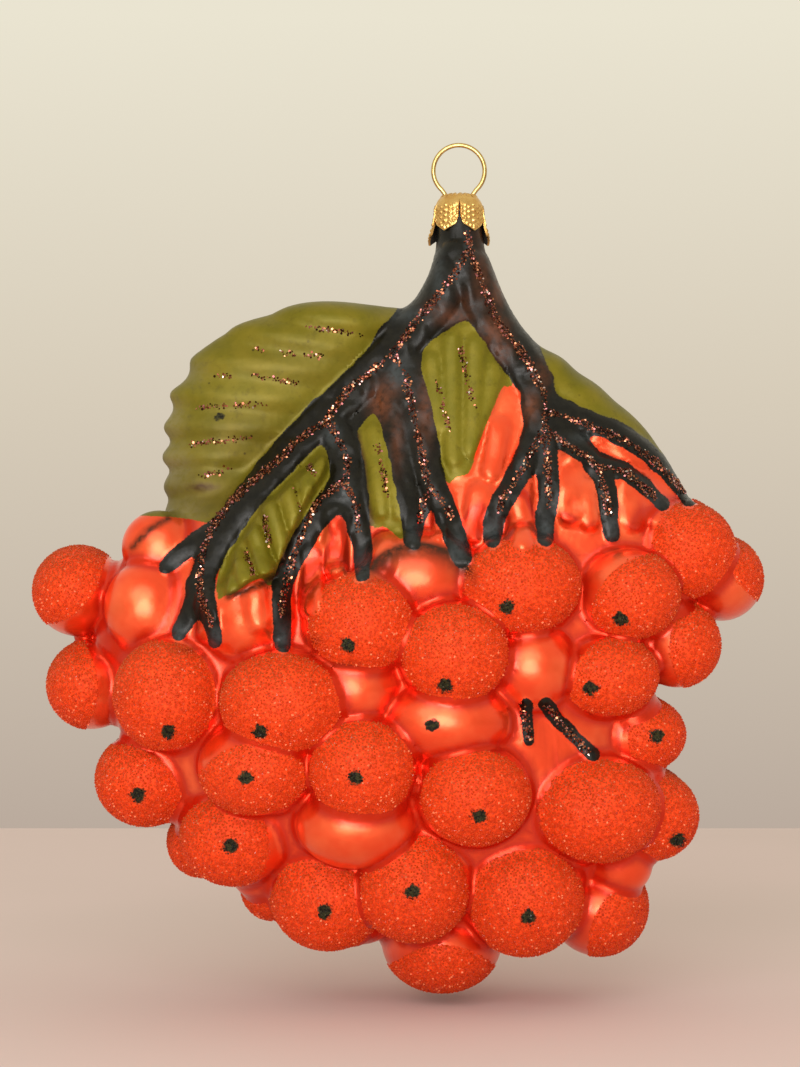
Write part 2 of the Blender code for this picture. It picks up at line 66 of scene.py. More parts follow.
# ---- glass: the body under the berries ---------------------------------------------------------------------
# Each oval section from the mouth down: height, middle, half width, half depth, squareness.
SECTIONS = (
    (-8.1, 0.0, 3.1, 3.1, 2.0),
    (-13.0, 0.0, 3.4, 3.4, 2.0),
    (-16.5, 0.3, 3.8, 3.6, 2.0),
    (-20.0, 0.5, 4.6, 3.9, 2.0),
    (-22.5, 0.5, 6.3, 4.3, 2.0),
    (-26.5, 0.0, 8.5, 5.0, 2.0),
    (-35.0, 0.0, 16.0, 7.0, 2.0),
    (-45.0, 0.5, 27.5, 10.0, 2.2),
    (-50.5, -1.0, 33.5, 12.0, 2.3),
    (-57.0, -4.5, 41.0, 14.5, 2.4),
    (-66.0, -9.0, 46.0, 17.5, 2.6),
    (-75.0, -11.0, 42.5, 19.5, 2.6),
    (-84.0, -12.5, 40.0, 20.0, 2.6),
    (-94.0, -9.5, 37.0, 19.5, 2.6),
    (-104.0, -6.0, 32.0, 17.5, 2.6),
    (-111.0, -3.0, 25.0, 14.0, 2.4),
    (-117.0, -2.0, 14.0, 8.5, 2.2),
    (-120.0, -2.0, 5.0, 3.0, 2.0),
)
# Each height takes the mean of the sections at these shifts from it.
SECTION_EASE = (-2.4, -1.2, 0.0, 1.2, 2.4)
# The bore inside the neck, in the same words.
BORE = (
    (-6.0, 0.0, 2.3, 2.3, 2.0),
    (-14.5, 0.0, 2.3, 2.3, 2.0),
    (-18.5, 0.3, 2.9, 2.6, 2.0),
    (-22.5, 0.3, 4.3, 3.0, 2.0),
    (-27.0, 0.0, 6.0, 3.5, 2.0),
    (-29.5, 0.0, 3.0, 2.0, 2.0),
)
# The skin is found on a grid of this cell between these corners, and the bore is cut between its own.
CELL = 0.42
GRID_LOW = (-67.0, -29.0, -130.0)
GRID_HIGH = (50.0, 29.0, -6.5)
BORE_LOW = (-9.0, -6.0, -32.0)
BORE_HIGH = (9.0, 6.0, -6.5)
# A shape is worked out only within this room around it.
LEAF_ROOM = 5.0
LEAF_DEPTH_ROOM = 9.0
BERRY_ROOM = 4.0
RELIEF_ROOM = 4.0
# A distance where nothing is near, and the least steepness that a field is divided by.
FAR = 50.0
LEAST_STEEPNESS = 0.02
# Chance values stand in a table of this size, and the layout starts this far into it.
CHANCE_COUNT = 512
CHANCE_MARGIN = 20.0
# Values over the layout are worked out at this step, and this far beyond the grid.
SHEET_STEP = 0.2
SHEET_MARGIN = 8.0
# The last place that can be read between entries is this far before a table's count.
LAST_CELL = 1.001
# How far two shapes flow into each other where they meet.
SHOULDER_BLEND = 2.5
RIB_BLEND = 1.2
CREASE_BLEND = 1.1
# A fine ridge of glass stands in each crease between two swellings, and its height wanders along it.
RIDGE_HEIGHT = 0.17
RIDGE_WIDTH = 0.65
RIDGE_LUMP = 4.5
SKIN_TRIANGLES = 190000

# ---- glass: berries ----------------------------------------------------------------------------------------
# A berry's middle stands this far inside the trunk's front, and never nearer the seam than the least depth.
FRONT_SINK = 2.0
SUNK_SINK = 4.0
LEAST_FRONT_DEPTH = 6.0
# The layout is drawn in toward this place by how far a thing stands in front of the seam.
SIGHT_X = -9.0
SIGHT_Z = -58.0
SIGHT_DISTANCE = 400.0
# The back's berries mirror the front's, moved by no more than this.
BACK_SHIFT = 1.5
# Each berry: its middle and its half sizes; then the side that is left bare of sugar, as its direction in
# degrees and how far from the middle it begins; then the calyx mark's x, z.
Row = namedtuple("Row", "x z half_width half_height bare_toward begins calyx")
RIM_BERRIES = (
    (-57.0, -66.5, 6.8, 6.8, -42, 2.7, None),
    (-55.0, -80.5, 6.7, 6.7, 0, 1.9, None),
    (-46.4, -94.2, 7.5, 7.0, 50, 4.2, (-47.7, -96.7)),
    (-38.3, -104.0, 5.4, 5.4, 45, 2.0, None),
    (-28.0, -110.8, 4.7, 5.0, 60, 1.5, None),
    (-2.6, -119.0, 9.0, 7.5, 90, 1.2, None),
    (20.8, -113.6, 7.5, 7.5, 150, 1.0, None),
    (28.4, -99.6, 6.9, 6.6, None, 0.0, (32.2, -103.3)),
    (26.6, -87.6, 6.8, 5.6, 180, 2.2, (29.2, -87.9)),
    (32.2, -74.3, 6.4, 6.4, 180, 1.8, None),
    (39.3, -64.6, 6.2, 6.4, 210, -1.0, None),
)
FRONT_BERRIES = (
    (-43.8, -82.1, 7.4, 7.7, None, 0.0, (-43.6, -87.6)),
    (-26.3, -83.2, 8.4, 7.0, None, 0.0, (-29.8, -87.6)),
    (-30.4, -93.0, 7.8, 6.4, 90, 3.9, (-31.9, -94.5)),
    (-14.5, -93.1, 7.3, 7.0, None, 0.0, (-15.6, -94.6)),
    (-33.6, -103.4, 7.4, 6.6, 8, 5.2, (-34.3, -104.8)),
    (-14.6, -71.3, 7.3, 6.9, None, 0.0, (-16.6, -74.7)),
    (-19.6, -112.1, 7.9, 7.5, None, 0.0, (-20.2, -114.7)),
    (-6.8, -110.6, 7.7, 7.7, None, 0.0, (-6.9, -111.6)),
    (9.7, -112.3, 8.1, 8.1, None, 0.0, (10.5, -115.5)),
    (2.2, -97.1, 7.6, 6.8, None, 0.0, (3.1, -100.2)),
    (20.5, -99.1, 8.7, 7.3, None, 0.0, None),
    (22.2, -79.2, 7.0, 5.5, 135, 5.0, (19.8, -81.1)),
    (9.1, -65.6, 8.1, 6.6, None, 0.0, (7.2, -69.0)),
    (25.6, -67.0, 7.0, 6.2, 135, 4.4, (24.3, -70.8)),
    (34.3, -60.4, 7.0, 7.0, 197, 5.4, None),
    (-0.8, -75.8, 7.4, 7.0, None, 0.0, (-2.1, -80.7)),
)
# Here the value before the mark is how far a plain berry is brought forward again.
SUNK_BERRIES = (
    (-47.0, -69.0, 5.0, 5.5, None, 0.0, None),
    (-45.0, -60.0, 4.5, 4.5, None, 0.0, None),
    (-31.5, -70.5, 5.5, 5.5, None, 0.0, None),
    (-16.0, -81.0, 5.5, 5.0, None, 0.0, None),
    (-15.5, -101.6, 7.0, 5.2, None, 1.7, None),
    (-2.0, -86.0, 7.5, 5.0, None, 0.0, (-4.0, -86.8)),
    (11.0, -78.0, 5.0, 5.0, None, 0.0, None),
    (-6.0, -64.5, 7.0, 5.5, None, 0.0, None),
)
# The glass swells on past a berry's size until it meets its neighbours, and the trunk keeps below them.
SUGARED_SPREAD = 1.08
BARE_SPREAD = 1.22
RIM_DEPTH_SPREAD = 1.45
# Toward the rim a sugared berry keeps its size: from this far beside the sight point, over this length.
RIM_SPREAD = 1.0
RIM_FROM = 30.0
RIM_OVER = 12.0
# A rim berry whose calyx shows from the front is a pair, one each side of the seam. One more is a pair too.
PAIR_DEPTH = 5.0
PAIR_DEPTH_SPREAD = 1.15
UNMARKED_PAIR = (32.2, -74.3)
# Plain lobes fill the deepest gaps of the flanks: x, distance from the seam, z, radius.
FLANK_LOBES = (
    (-49.5, 4.5, -73.6, 4.4), (-44.5, 6.0, -87.6, 5.0), (-37.5, 6.0, -98.8, 5.0), (-29.5, 5.0, -107.5, 4.6),
    (-14.5, 5.0, -113.5, 5.2), (9.5, 4.5, -115.0, 4.8), (23.5, 6.0, -106.5, 5.0), (24.5, 6.5, -94.0, 5.0),
    (25.0, 8.0, -83.0, 4.0), (30.5, 7.0, -69.6, 3.6),
)
# The trunk is thinner behind the berries, and eases in and out of that over these heights.
TRUNK_SINK = 2.6
SUNK_FROM_Z = -51.0
SUNK_TO_Z = -63.0
LIFTED_FROM_Z = -106.0
LIFTED_TO_Z = -118.0
# Sugar covers a berry out to a share of its size, and further on the side that looks out from the middle.
SUGAR_REACH = 1.0
OUTER_REACH = 2.0
OUTER_OVER_X = 40.0
OUTER_BELOW_Z = -90.0
OUTER_OVER_Z = 30.0
# It stops short of a crease, keeps near the berries, and ends in a wide curve beside a bare side.
CREASE_MARGIN = 0.55
SUGAR_STANDOFF = 0.6
BARE_CURVE = 9.0
TWIG_MARGIN = 0.4
CALYX_RADIUS = 1.5
CALYX_STANDOFF = 1.0
CREASE_FADE = 1.2
# An edge distance where there is no paint at all.
UNPAINTED = 5.0
# Painted shade darkens the upper left of each berry toward brown: strength, growth upward, start and lean.
TOP_SHADE_STRENGTH = 0.75
TOP_SHADE_RISE = 1.1
TOP_SHADE_START = 0.15
TOP_SHADE_LEAN = 0.3

# ---- glass: leaves -----------------------------------------------------------------------------------------
LEFT_LEAF = (
    (-8, -24.5), (-18, -24), (-25.5, -24.5), (-32, -26.5), (-38, -30), (-41, -35), (-43, -40), (-43, -46),
    (-43, -52), (-42.5, -56), (-35, -57), (-29, -50), (-22, -43), (-15, -36), (-9, -30),
)
RIGHT_LEAF = (
    (9, -29.5), (14, -32), (20, -35.5), (23, -38), (26, -40.5), (28.5, -43), (30, -46), (31, -50), (24, -48),
    (16, -43), (10, -36),
)
# A leaf is this thick each way in its middle and thins out over this distance from its edge.
LEAF_HALF_DEPTH = 5.0
LEAF_EDGE = 9.0
# The ribs of each leaf run from their root to their tip, as x, z, x, z.
LEFT_RIBS = (
    (-9, -27, -27.5, -25.7), (-12, -30.5, -34.2, -28), (-15, -34, -40.3, -32.2), (-19, -38, -43.4, -37.2),
    (-23, -42, -44.3, -42), (-27, -46, -44.5, -46.5), (-31, -50, -44.3, -51), (-35, -54, -43.8, -55),
)
RIGHT_RIBS = ((10, -32.5, 17, -36), (10, -34.5, 22.5, -39.5), (12, -37, 27, -43.5), (14, -40, 30, -48))
RIB_HALF_WIDTH = 3.2
RIB_HALF_DEPTH = 5.5
# Leaves pressed flat on the front, as outlines.
CENTRE_LEAF = (
    (1.2, -26.0), (4.0, -28.2), (5.1, -31.2), (7.0, -33.8), (5.7, -37.7), (3.8, -42.3), (2.4, -46.2),
    (2.1, -47.4), (1.2, -49.0), (-1.0, -49.2), (-2.4, -46.5), (-3.4, -43.5), (-4.7, -39.0), (-5.7, -35.4),
    (-5.9, -32.2), (-4.4, -29.2), (-1.8, -27.6),
)
NARROW_LEAF = (
    (-12.8, -40.0), (-14.8, -42.2), (-15.0, -44.7), (-13.8, -48.0), (-13.5, -52.5), (-12.4, -55.8),
    (-9.4, -57.6), (-7.4, -55.5), (-7.8, -52.5), (-9.2, -49.4), (-9.9, -45.2), (-10.7, -41.8),
)
FOLDED_LEAF = (
    (-20.6, -45.8), (-19.5, -46.8), (-20.6, -49.8), (-22.4, -52.5), (-23.7, -55.5), (-25.7, -60.0),
    (-27.4, -63.8), (-30.9, -65.0), (-35.0, -67.2), (-33.9, -60.8), (-31.4, -56.9), (-29.5, -53.3),
    (-27.0, -51.9), (-24.5, -49.4), (-22.4, -47.9),
)
# Each with how proud it stands.
PRESSED_LEAVES = ((CENTRE_LEAF, 0.5), (NARROW_LEAF, 0.5), (FOLDED_LEAF, 1.3))
# Swellings on these leaves, as x, z, x, z, half width, height. They fade out past their half width.
SWELLING_SOFTNESS = 1.4
LEAF_SWELLINGS = (
    (-4.2, -32.0, -3.2, -41.5, 1.3, 0.6), (-1.2, -28.5, -0.8, -46.5, 1.3, 0.7),
    (2.6, -29.5, 1.9, -45.0, 1.4, 0.8), (5.4, -33.0, 4.0, -40.0, 1.1, 0.5),
    (-12.9, -42.5, -11.6, -54.5, 1.1, 0.6), (-10.9, -43.5, -9.0, -55.0, 1.0, 0.6),
    (-21.0, -47.5, -21.4, -49.5, 1.2, 1.0), (-22.9, -49.6, -22.6, -52.8, 1.3, 1.3),
    (-25.9, -51.5, -24.6, -56.5, 1.4, 1.6), (-28.4, -54.0, -26.3, -61.0, 1.4, 1.8),
    (-30.8, -58.0, -28.9, -63.3, 1.4, 1.7), (-33.0, -61.5, -31.8, -65.0, 1.3, 1.3),
)
# The same on the red skirt between the twigs, and how much their height wanders and over what length.
SKIRT_WANDER = 0.45
SKIRT_LUMP = 2.6
SKIRT_SWELLINGS = (
    (8.9, -52.5, 9.6, -58.5, 2.0, 1.4), (9.6, -47.0, 9.4, -50.5, 1.4, 1.0),
    (16.6, -47.5, 17.0, -54.5, 2.1, 1.3), (19.0, -51.0, 19.6, -56.0, 1.4, 1.1),
    (25.6, -51.0, 26.2, -55.5, 2.0, 1.3), (3.2, -52.0, 1.9, -57.5, 1.8, 1.1),
    (6.0, -42.0, 4.9, -48.5, 1.5, 0.8), (-18.3, -55.5, -18.7, -62.5, 1.7, 1.4),
    (-21.8, -61.0, -22.2, -69.0, 1.5, 1.3), (-37.6, -70.0, -38.0, -73.0, 1.3, 0.8),
    (-11.2, -59.5, -11.7, -62.5, 1.9, 1.0), (20.5, -43.3, 27.5, -47.2, 0.9, 0.6),
    (27.5, -54.5, 30.5, -56.0, 1.4, 0.8), (-30.5, -66.8, -29.8, -71.0, 1.8, 0.8),
    (-3.0, -55.5, -2.8, -58.0, 1.0, 0.8),
)

# ---- glass: twigs ------------------------------------------------------------------------------------------
# Each twig: its radius at the root and at the tip, and the course of its middle.
TWIGS = (
    (2.9, 1.8, ((-0.5, -17), (-3.5, -23), (-9, -29.5), (-15, -35.5), (-22.5, -42.5), (-29.5, -50),
                (-34.5, -56.5), (-37.5, -62), (-39, -66))),
    (1.7, 1.0, ((-37, -58), (-40.5, -60), (-44, -63))),
    (1.6, 1.0, ((-39, -66), (-40.5, -70), (-42, -73))),
    (1.6, 1.0, ((-38.5, -67), (-37.5, -70), (-36.5, -74))),
    (2.2, 1.9, ((-20, -40), (-17.5, -44.5), (-17, -48.5), (-17.5, -51))),
    (1.8, 1.2, ((-18, -51.5), (-21.5, -56), (-24.5, -61), (-26.5, -66), (-26.5, -71), (-26.5, -74.5))),
    (1.7, 1.1, ((-17, -51), (-15.5, -56), (-14.5, -59.5), (-14.5, -64))),
    (2.7, 1.4, ((-9, -31), (-8, -35.5), (-6, -41.5), (-4.5, -48.5), (-2.5, -53.5), (-1, -57.5),
                (0.5, -61.5))),
    (1.9, 1.2, ((-10.5, -34), (-9.5, -42.5), (-8, -50.5), (-7, -59))),
    (2.9, 2.4, ((2, -18.5), (5, -25.5), (9, -31), (11.5, -35.5), (12.5, -41))),
    (2.1, 1.3, ((12.5, -41.5), (10, -47), (7.5, -51.5), (5.5, -55), (5, -58.5))),
    (1.8, 1.3, ((12.5, -42.5), (13, -47), (13.5, -51.5), (13, -55), (13, -58.5))),
    (1.8, 1.1, ((13.5, -41.5), (17.5, -44.5), (20.5, -47.5), (22, -50.5), (22.5, -54.5), (23, -58))),
    (1.4, 1.0, ((20.5, -47.5), (24.5, -48.5), (27.5, -50.5), (30.5, -53.5))),
    (1.8, 1.1, ((13, -38.5), (17.5, -40.5), (23, -42.5), (28, -45.5), (31.5, -49), (34.5, -52.5))),
    (0.9, 0.8, ((10, -83.5), (10.5, -89))),
    (0.9, 1.0, ((13, -83.5), (15.5, -86.5), (20, -91))),
)
# A twig stands proud and is painted by shares of its radius, and where two meet the higher fills the fork.
TWIG_PROUD = 0.5
TWIG_PAINT = 1.1
FORK_FILL = 4.0
# Knots along a twig, coarse and fine, as how much they swell it and how far apart they are.
COARSE_KNOTS = (0.22, 1.7)
FINE_KNOTS = (0.1, 0.8)
# A twig that crosses other relief rises with it, but no more than this.
CROSSING_RISE = 0.5
# Black paint also fills the stem above the first fork and the web under the second.
STEM_PAINT = (
    (-6, -6), (6, -6), (6, -17), (8.5, -24), (13, -33), (11, -37), (7.6, -34.4), (5.1, -31.0), (4.0, -28.0),
    (1.2, -25.8), (-1.8, -27.4), (-4.4, -29.0), (-5.9, -32.0), (-7.0, -35.0), (-12, -33), (-13, -29),
    (-9, -24), (-6, -18),
)
WEB_PAINT = (
    (-9.0, -30.0), (-15.5, -35.5), (-21.0, -41.5), (-19.8, -45.6), (-18.8, -50.0), (-17.4, -52.0),
    (-15.6, -55.5), (-13.4, -56.5), (-13.6, -52.5), (-14.2, -47.5), (-15.3, -44.7), (-15.2, -42.2),
    (-12.9, -39.8), (-10.8, -41.5), (-9.9, -45.2), (-9.2, -49.4), (-7.8, -52.5), (-7.3, -57.0),
    (-5.6, -58.0), (-4.4, -54.0), (-6.0, -41.5), (-7.5, -35.5),
)
# How far the paint of two twigs, and of the stem and the web, flows together.
PAINT_WEB = 1.1
STEM_WEB = 0.3
# The black edge wanders by this much, with this far from one bay to the next.
PAINT_WANDER = 0.22
PAINT_LUMP = 1.3

# ---- glitter -----------------------------------------------------------------------------------------------
# Glitter lies in lines, narrower in the leaves' veins, and thins out by chance over this length.
GLITTER_HALF_WIDTH = 0.55
VEIN_GLITTER_SHARE = 0.72
GLITTER_GAPS = 0.42
GLITTER_LUMP = 1.5
TWIG_GLITTER = (
    ((1.4, -12.6), (1.5, -15.5), (0.8, -16.3), (-1.2, -19.6), (-3.4, -22.6), (-5.4, -24.9), (-8.4, -28.8),
     (-9.9, -31.0), (-13.5, -33.9), (-17.1, -36.8), (-19.8, -40.8), (-23.7, -43.5), (-26.8, -46.6),
     (-31.0, -50.2), (-34.8, -54.0), (-37.4, -57.8), (-38.6, -62.0), (-38.9, -66.0), (-38.0, -69.0),
     (-37.0, -71.5)),
    ((1.5, -15.3), (2.4, -17.4), (3.6, -21.0), (5.4, -25.4), (7.2, -27.8), (9.5, -30.9), (11.6, -34.5),
     (12.9, -37.7), (12.9, -42.3)),
    ((12.9, -42.3), (11.0, -45.5), (9.3, -48.8), (6.8, -52.4), (5.8, -55.0)),
    ((12.9, -42.3), (13.2, -46.2), (13.4, -50.1), (13.3, -54.0)),
    ((12.9, -42.3), (15.8, -44.3), (18.5, -46.0), (20.7, -47.9), (21.8, -51.5), (22.6, -55.0)),
    ((20.7, -47.9), (24.6, -48.5), (27.7, -51.0), (29.2, -52.5)),
    ((12.9, -39.4), (15.8, -40.3), (19.1, -41.5), (23.3, -43.3), (27.2, -45.4), (30.8, -48.5),
     (33.5, -51.5)),
    ((-9.9, -31.0), (-8.1, -33.9), (-7.6, -36.5), (-6.8, -40.1), (-5.9, -44.5), (-5.1, -48.2),
     (-4.2, -51.3), (-2.2, -53.2), (-1.2, -55.5)),
    ((-4.2, -51.3), (-5.4, -53.4), (-5.9, -56.0)),
    ((-19.8, -40.8), (-18.5, -43.2), (-17.4, -45.2), (-16.7, -48.0), (-17.4, -50.1), (-20.6, -52.4),
     (-22.4, -55.6), (-23.9, -58.9), (-24.9, -61.5), (-26.2, -66.5), (-26.5, -70.0)),
    ((-17.4, -50.1), (-16.0, -52.4), (-15.4, -54.6), (-15.1, -57.4)),
    ((9.4, -83.5), (10.5, -88.5)),
    ((13.3, -84.0), (15.6, -86.7), (19.3, -90.6)),
)
# Dashes of glitter in the veins of the leaves.
LEAF_GLITTER = (
    ((-22.6, -27.0), (-21.9, -27.0)), ((-20.9, -27.2), (-20.4, -27.2)), ((-19.5, -27.4), (-14.7, -28.2)),
    ((-30.3, -30.5), (-28.8, -30.5)), ((-26.9, -30.7), (-24.9, -31.0)), ((-23.3, -31.1), (-20.1, -31.2)),
    ((-36.8, -34.3), (-34.2, -34.3)), ((-30.9, -34.1), (-28.0, -34.7), (-24.2, -35.2)),
    ((-39.0, -38.9), (-33.5, -38.5), (-28.5, -38.6)), ((-40.2, -44.5), (-35.0, -43.9), (-31.0, -43.4)),
    ((-39.5, -49.3), (-36.5, -48.9), (-34.2, -47.9)), ((0.2, -30.2), (1.2, -34.4), (2.2, -38.7)),
    ((-3.3, -34.8), (-2.4, -38.6), (-1.4, -42.3)), ((-12.4, -44.4), (-11.4, -48.5), (-10.7, -52.6)),
    ((-24.7, -51.5), (-23.7, -54.5)), ((-29.1, -55.5), (-28.4, -60.0)), ((-32.1, -60.3), (-31.0, -63.8)),
    ((-22.5, -47.6), (-21.8, -49.0)),
)

# ---- cap and ring ------------------------------------------------------------------------------------------
CAP_SHEET = 0.3
# The dome from its middle to the shoulder, as radius and height. The sheet then bends down to its own radius.
CAP_DOME = ((0.0, -7.0), (1.0, -7.02), (1.8, -7.12), (2.4, -7.3), (2.85, -7.6), (3.15, -7.95))
CAP_RADIUS = 3.7
SHOULDER_BEND = 1.8
CAP_SHARP_ANGLE = 50.0
# Each petal: the height of its tip and how far it flares.
PETALS = ((-12.8, 0.35), (-14.6, 1.1), (-14.4, 1.0), (-14.6, 1.1), (-12.8, 0.35))
PETAL_HALF_WIDTH = 2.32
PETAL_STEPS = 48
DOME_ROWS = 10
PETAL_ROWS = 40
# Across a petal a share runs from 0 at its middle line to 1 in the slit beside it.
SLIT = 0.955
SLIT_TOP_Z = -8.1
SLIT_OPENING = 1.5
SLIT_CURVE = 0.6
PETAL_SIDE_RISE = 1.3
PETAL_CORNER = 1.1
CORNER_FROM = 0.72
FLARE_FROM_Z = -10.3
FLARE_LENGTH = 4.5
# The beads of the dome stand in rings: radius, how many, where the first stands.
DOME_BEAD_RINGS = ((2.5, 20, 0.0), (1.55, 11, 0.3))
DOME_BEAD = 0.3
DOME_BEAD_RISE = 0.2
# The beads of a petal follow its lower edge, its two sides and three lines between them.
BEAD_RISE = 0.75
EDGE_BEAD = 0.24
EDGE_BEAD_GAP = 0.56
EDGE_LIFT = 0.42
EDGE_NARROWED = 0.86
EDGE_STEPS = 60
EDGE_FROM = 0.97
EDGE_UNTIL = 0.9
SIDE_BEADS = 5
SIDE_TOP_Z = -9.4
SIDE_STEP = 0.55
MIDDLE_BEADS = (0.26, 0.34)
MIDDLE_TOP_Z = -8.9
MIDDLE_STEP = 0.78
# Two lines beside the middle one: across, top, step, bead.
BEAD_LINES = ((0.78, -9.2, 0.78, 0.25), (1.38, -8.9, 0.7, 0.19))
LINE_BEADS = 4
TIP_MARGIN = 0.35
SIDE_MARGIN = 0.2
WIRE_RADIUS = 0.35
RING_RADIUS = 3.85
RING_OPEN_ANGLE = 42.0
RING_STEPS = 96
WIRE_SIDES = 16
WIRE_END_LIFTS = (0.6, 0.95)
# Half of the wire inside the neck, as x, z from the ring down.
LEG = ((1.95, -7.25), (1.8, -8.4), (1.75, -14.0), (1.85, -18.0), (2.9, -22.5), (4.2, -26.5))


# ---- measures and distances --------------------------------------------------------------------------------
def smaller(a, b, blend):
    """The smaller of two distances, eased where they are nearly the same."""
    near = np.maximum(blend - np.abs(a - b), 0.0) / blend
    return np.minimum(a, b) - near * near * blend * 0.25


def drawn_in(x, z, depth):
    """Where a place of the layout comes to lie when it stands this far in front of the middle plane."""
    ratio = 1 - depth / SIGHT_DISTANCE
    return SIGHT_X + (x - SIGHT_X) * ratio, SIGHT_Z + (z - SIGHT_Z) * ratio


def laid_out(x, y, z):
    """The place in the layout that a point of the skin is seen at."""
    ratio = 1 - np.abs(y) / SIGHT_DISTANCE
    return SIGHT_X + (x - SIGHT_X) / ratio, SIGHT_Z + (z - SIGHT_Z) / ratio


def rounded(course, steps=6):
    """A smooth line through the points of a course."""
    points = [np.array(point, float) for point in course]
    if len(points) < 3:
        return np.array(points)
    ends = [2 * points[0] - points[1], *points, 2 * points[-1] - points[-2]]
    line = []
    for before, start, end, after in zip(ends, ends[1:], ends[2:], ends[3:]):
        for step in range(steps):
            t = step / steps
            bend = 2 * before - 5 * start + 4 * end - after
            twist = 3 * start - before - 3 * end + after
            line.append(0.5 * (2 * start + (end - before) * t + bend * t * t + twist * t * t * t))
    line.append(points[-1])
    return np.array(line)


def rounded_outline(outline, steps=4):
    """A smooth closed line through the corners of an outline."""
    closed = [*outline[-2:], *outline, *outline[:2]]
    line = rounded(closed, steps)
    return line[2 * steps:-2 * steps - steps + 1][:len(outline) * steps]


def line_distance(x, z, course):
    """Distance in the layout to a course, and the share of its length at the nearest place."""
    lengths = np.linalg.norm(np.diff(course, axis=0), axis=1)
    total = lengths.sum()
    nearest = np.full(np.shape(x), 1e9, np.float32)
    share = np.zeros(np.shape(x), np.float32)
    passed = 0.0
    for (ax, az), (bx, bz), length in zip(course, course[1:], lengths):
        t = ((x - ax) * (bx - ax) + (z - az) * (bz - az)) / max(length * length, 1e-9)
        t = np.clip(t, 0, 1)
        gap = np.hypot(x - ax - t * (bx - ax), z - az - t * (bz - az))
        closer = gap < nearest
        nearest = np.where(closer, gap, nearest)
        share = np.where(closer, (passed + t * length) / total, share)
        passed += length
    return nearest, share


def outline_distance(x, z, outline):
    """Distance in the layout to an outline, below 0 inside it."""
    closed = np.vstack([outline, outline[:1]])
    edge = line_distance(x, z, closed)[0]
    inside = np.zeros(np.shape(x), bool)
    for (ax, az), (bx, bz) in zip(closed, closed[1:]):
        if az != bz:
            crossed = ((az > z) != (bz > z)) & (x < (bx - ax) * (z - az) / (bz - az) + ax)
            inside ^= crossed
    return np.where(inside, -edge, edge)


def bump(share):
    """A rounded swelling: 1 in the middle and 0 at a share of 1."""
    return np.sqrt(np.clip(1 - share * share, 0, 1))


def eased(share):
    """A share that starts and ends level."""
    return share * share * (3 - 2 * share)


def table_value(table, u, v, ease=None):
    """A table read between its entries, straight or eased."""
    i = u.astype(np.int32)
    j = v.astype(np.int32)
    u = u - i
    v = v - j
    if ease:
        u = ease(u)
        v = ease(v)
    near = table[i, j] * (1 - u) + table[i + 1, j] * u
    far = table[i, j + 1] * (1 - u) + table[i + 1, j + 1] * u
    return near * (1 - v) + far * v


def lumps(x, z, size, seed):
    """Smooth chance swellings about this many millimetres apart, from -1 to 1."""
    table = np.random.default_rng(seed).uniform(-1, 1, (CHANCE_COUNT, CHANCE_COUNT))
    u = (x - GRID_LOW[0] + CHANCE_MARGIN) / size
    v = (z - GRID_LOW[2] + CHANCE_MARGIN) / size
    return table_value(table, u, v, eased)


# ---- the skin as a field -----------------------------------------------------------------------------------
STEPS = [np.arange(low, high, CELL, dtype=np.float32) for low, high in zip(GRID_LOW, GRID_HIGH)]


def window(low, high):
    """The part of the grid between two corners: its slices, and its x, y and z."""
    spans = []
    places = []
    for axis, (steps, a, b) in enumerate(zip(STEPS, low, high)):
        first = max(0, int((a - steps[0]) / CELL))
        last = min(len(steps), int((b - steps[0]) / CELL) + 2)
        shape = [1, 1, 1]
        shape[axis] = -1
        spans.append(slice(first, last))
        places.append(steps[first:last].reshape(shape))
    return tuple(spans), places


def evened(raw):
    """A field turned into distances near its zero."""
    slopes = np.gradient(raw, CELL)
    steepness = np.sqrt(slopes[0] ** 2 + slopes[1] ** 2 + slopes[2] ** 2)
    return (raw / np.maximum(steepness, LEAST_STEEPNESS)).astype(np.float32)


def loft_field(sections, places, ease, thinner=0.0):
    """A body through oval sections, made thinner from front to back where asked."""
    x, y, z = places
    rows = np.array(sections[::-1], float)
    columns = []
    for column in range(1, 5):
        eased = sum(np.interp(z + shift, rows[:, 0], rows[:, column]) for shift in ease) / len(ease)
        columns.append(eased.astype(np.float32))
    middle, half_width, half_depth, squareness = columns
    half_depth = half_depth - thinner
    across = (np.abs(x - middle) / half_width) ** squareness
    along = (np.abs(y) / half_depth) ** squareness
    ring = evened((across + along) ** (1 / squareness) - 1)
    return np.maximum(ring, np.maximum(z - sections[0][0], sections[-1][0] - z))


def egg_field(places, centre, halves, turn=0.0):
    """A stretched ball, its own X axis turned in the XZ plane."""
    x, y, z = (place - middle for place, middle in zip(places, centre))
    along = x * math.cos(turn) - z * math.sin(turn)
    across = x * math.sin(turn) + z * math.cos(turn)
    a, b, c = halves
    near = np.sqrt((along / a) ** 2 + (y / b) ** 2 + (across / c) ** 2)
    steep = np.sqrt((along / a ** 2) ** 2 + (y / b ** 2) ** 2 + (across / c ** 2) ** 2)
    return near * (near - 1) / np.maximum(steep, 1e-6)


def leaf_field(places, outline):
    """A blade that swells to the front and to the back inside its outline."""
    x, y, z = places
    edge = outline_distance(x + 0 * z, z + 0 * x, rounded_outline(outline)).astype(np.float32)
    near = np.maximum(0, 1 + edge / LEAF_EDGE)
    return evened(np.sqrt(near ** 2 + (y / LEAF_HALF_DEPTH) ** 2) - 1)


def depth_under(x, z):
    """Half depth of the body at a place in the XZ plane, or 0 outside it."""
    for above, below in zip(SECTIONS, SECTIONS[1:]):
        if below[0] <= z <= above[0]:
            share = (above[0] - z) / (above[0] - below[0])
            middle, half_width, half_depth, squareness = (
                upper + (lower - upper) * share for upper, lower in zip(above[1:5], below[1:5]))
            across = min(1.0, abs(x - middle) / half_width)
            return half_depth * (1 - across ** squareness) ** (1 / squareness)
    return 0.0


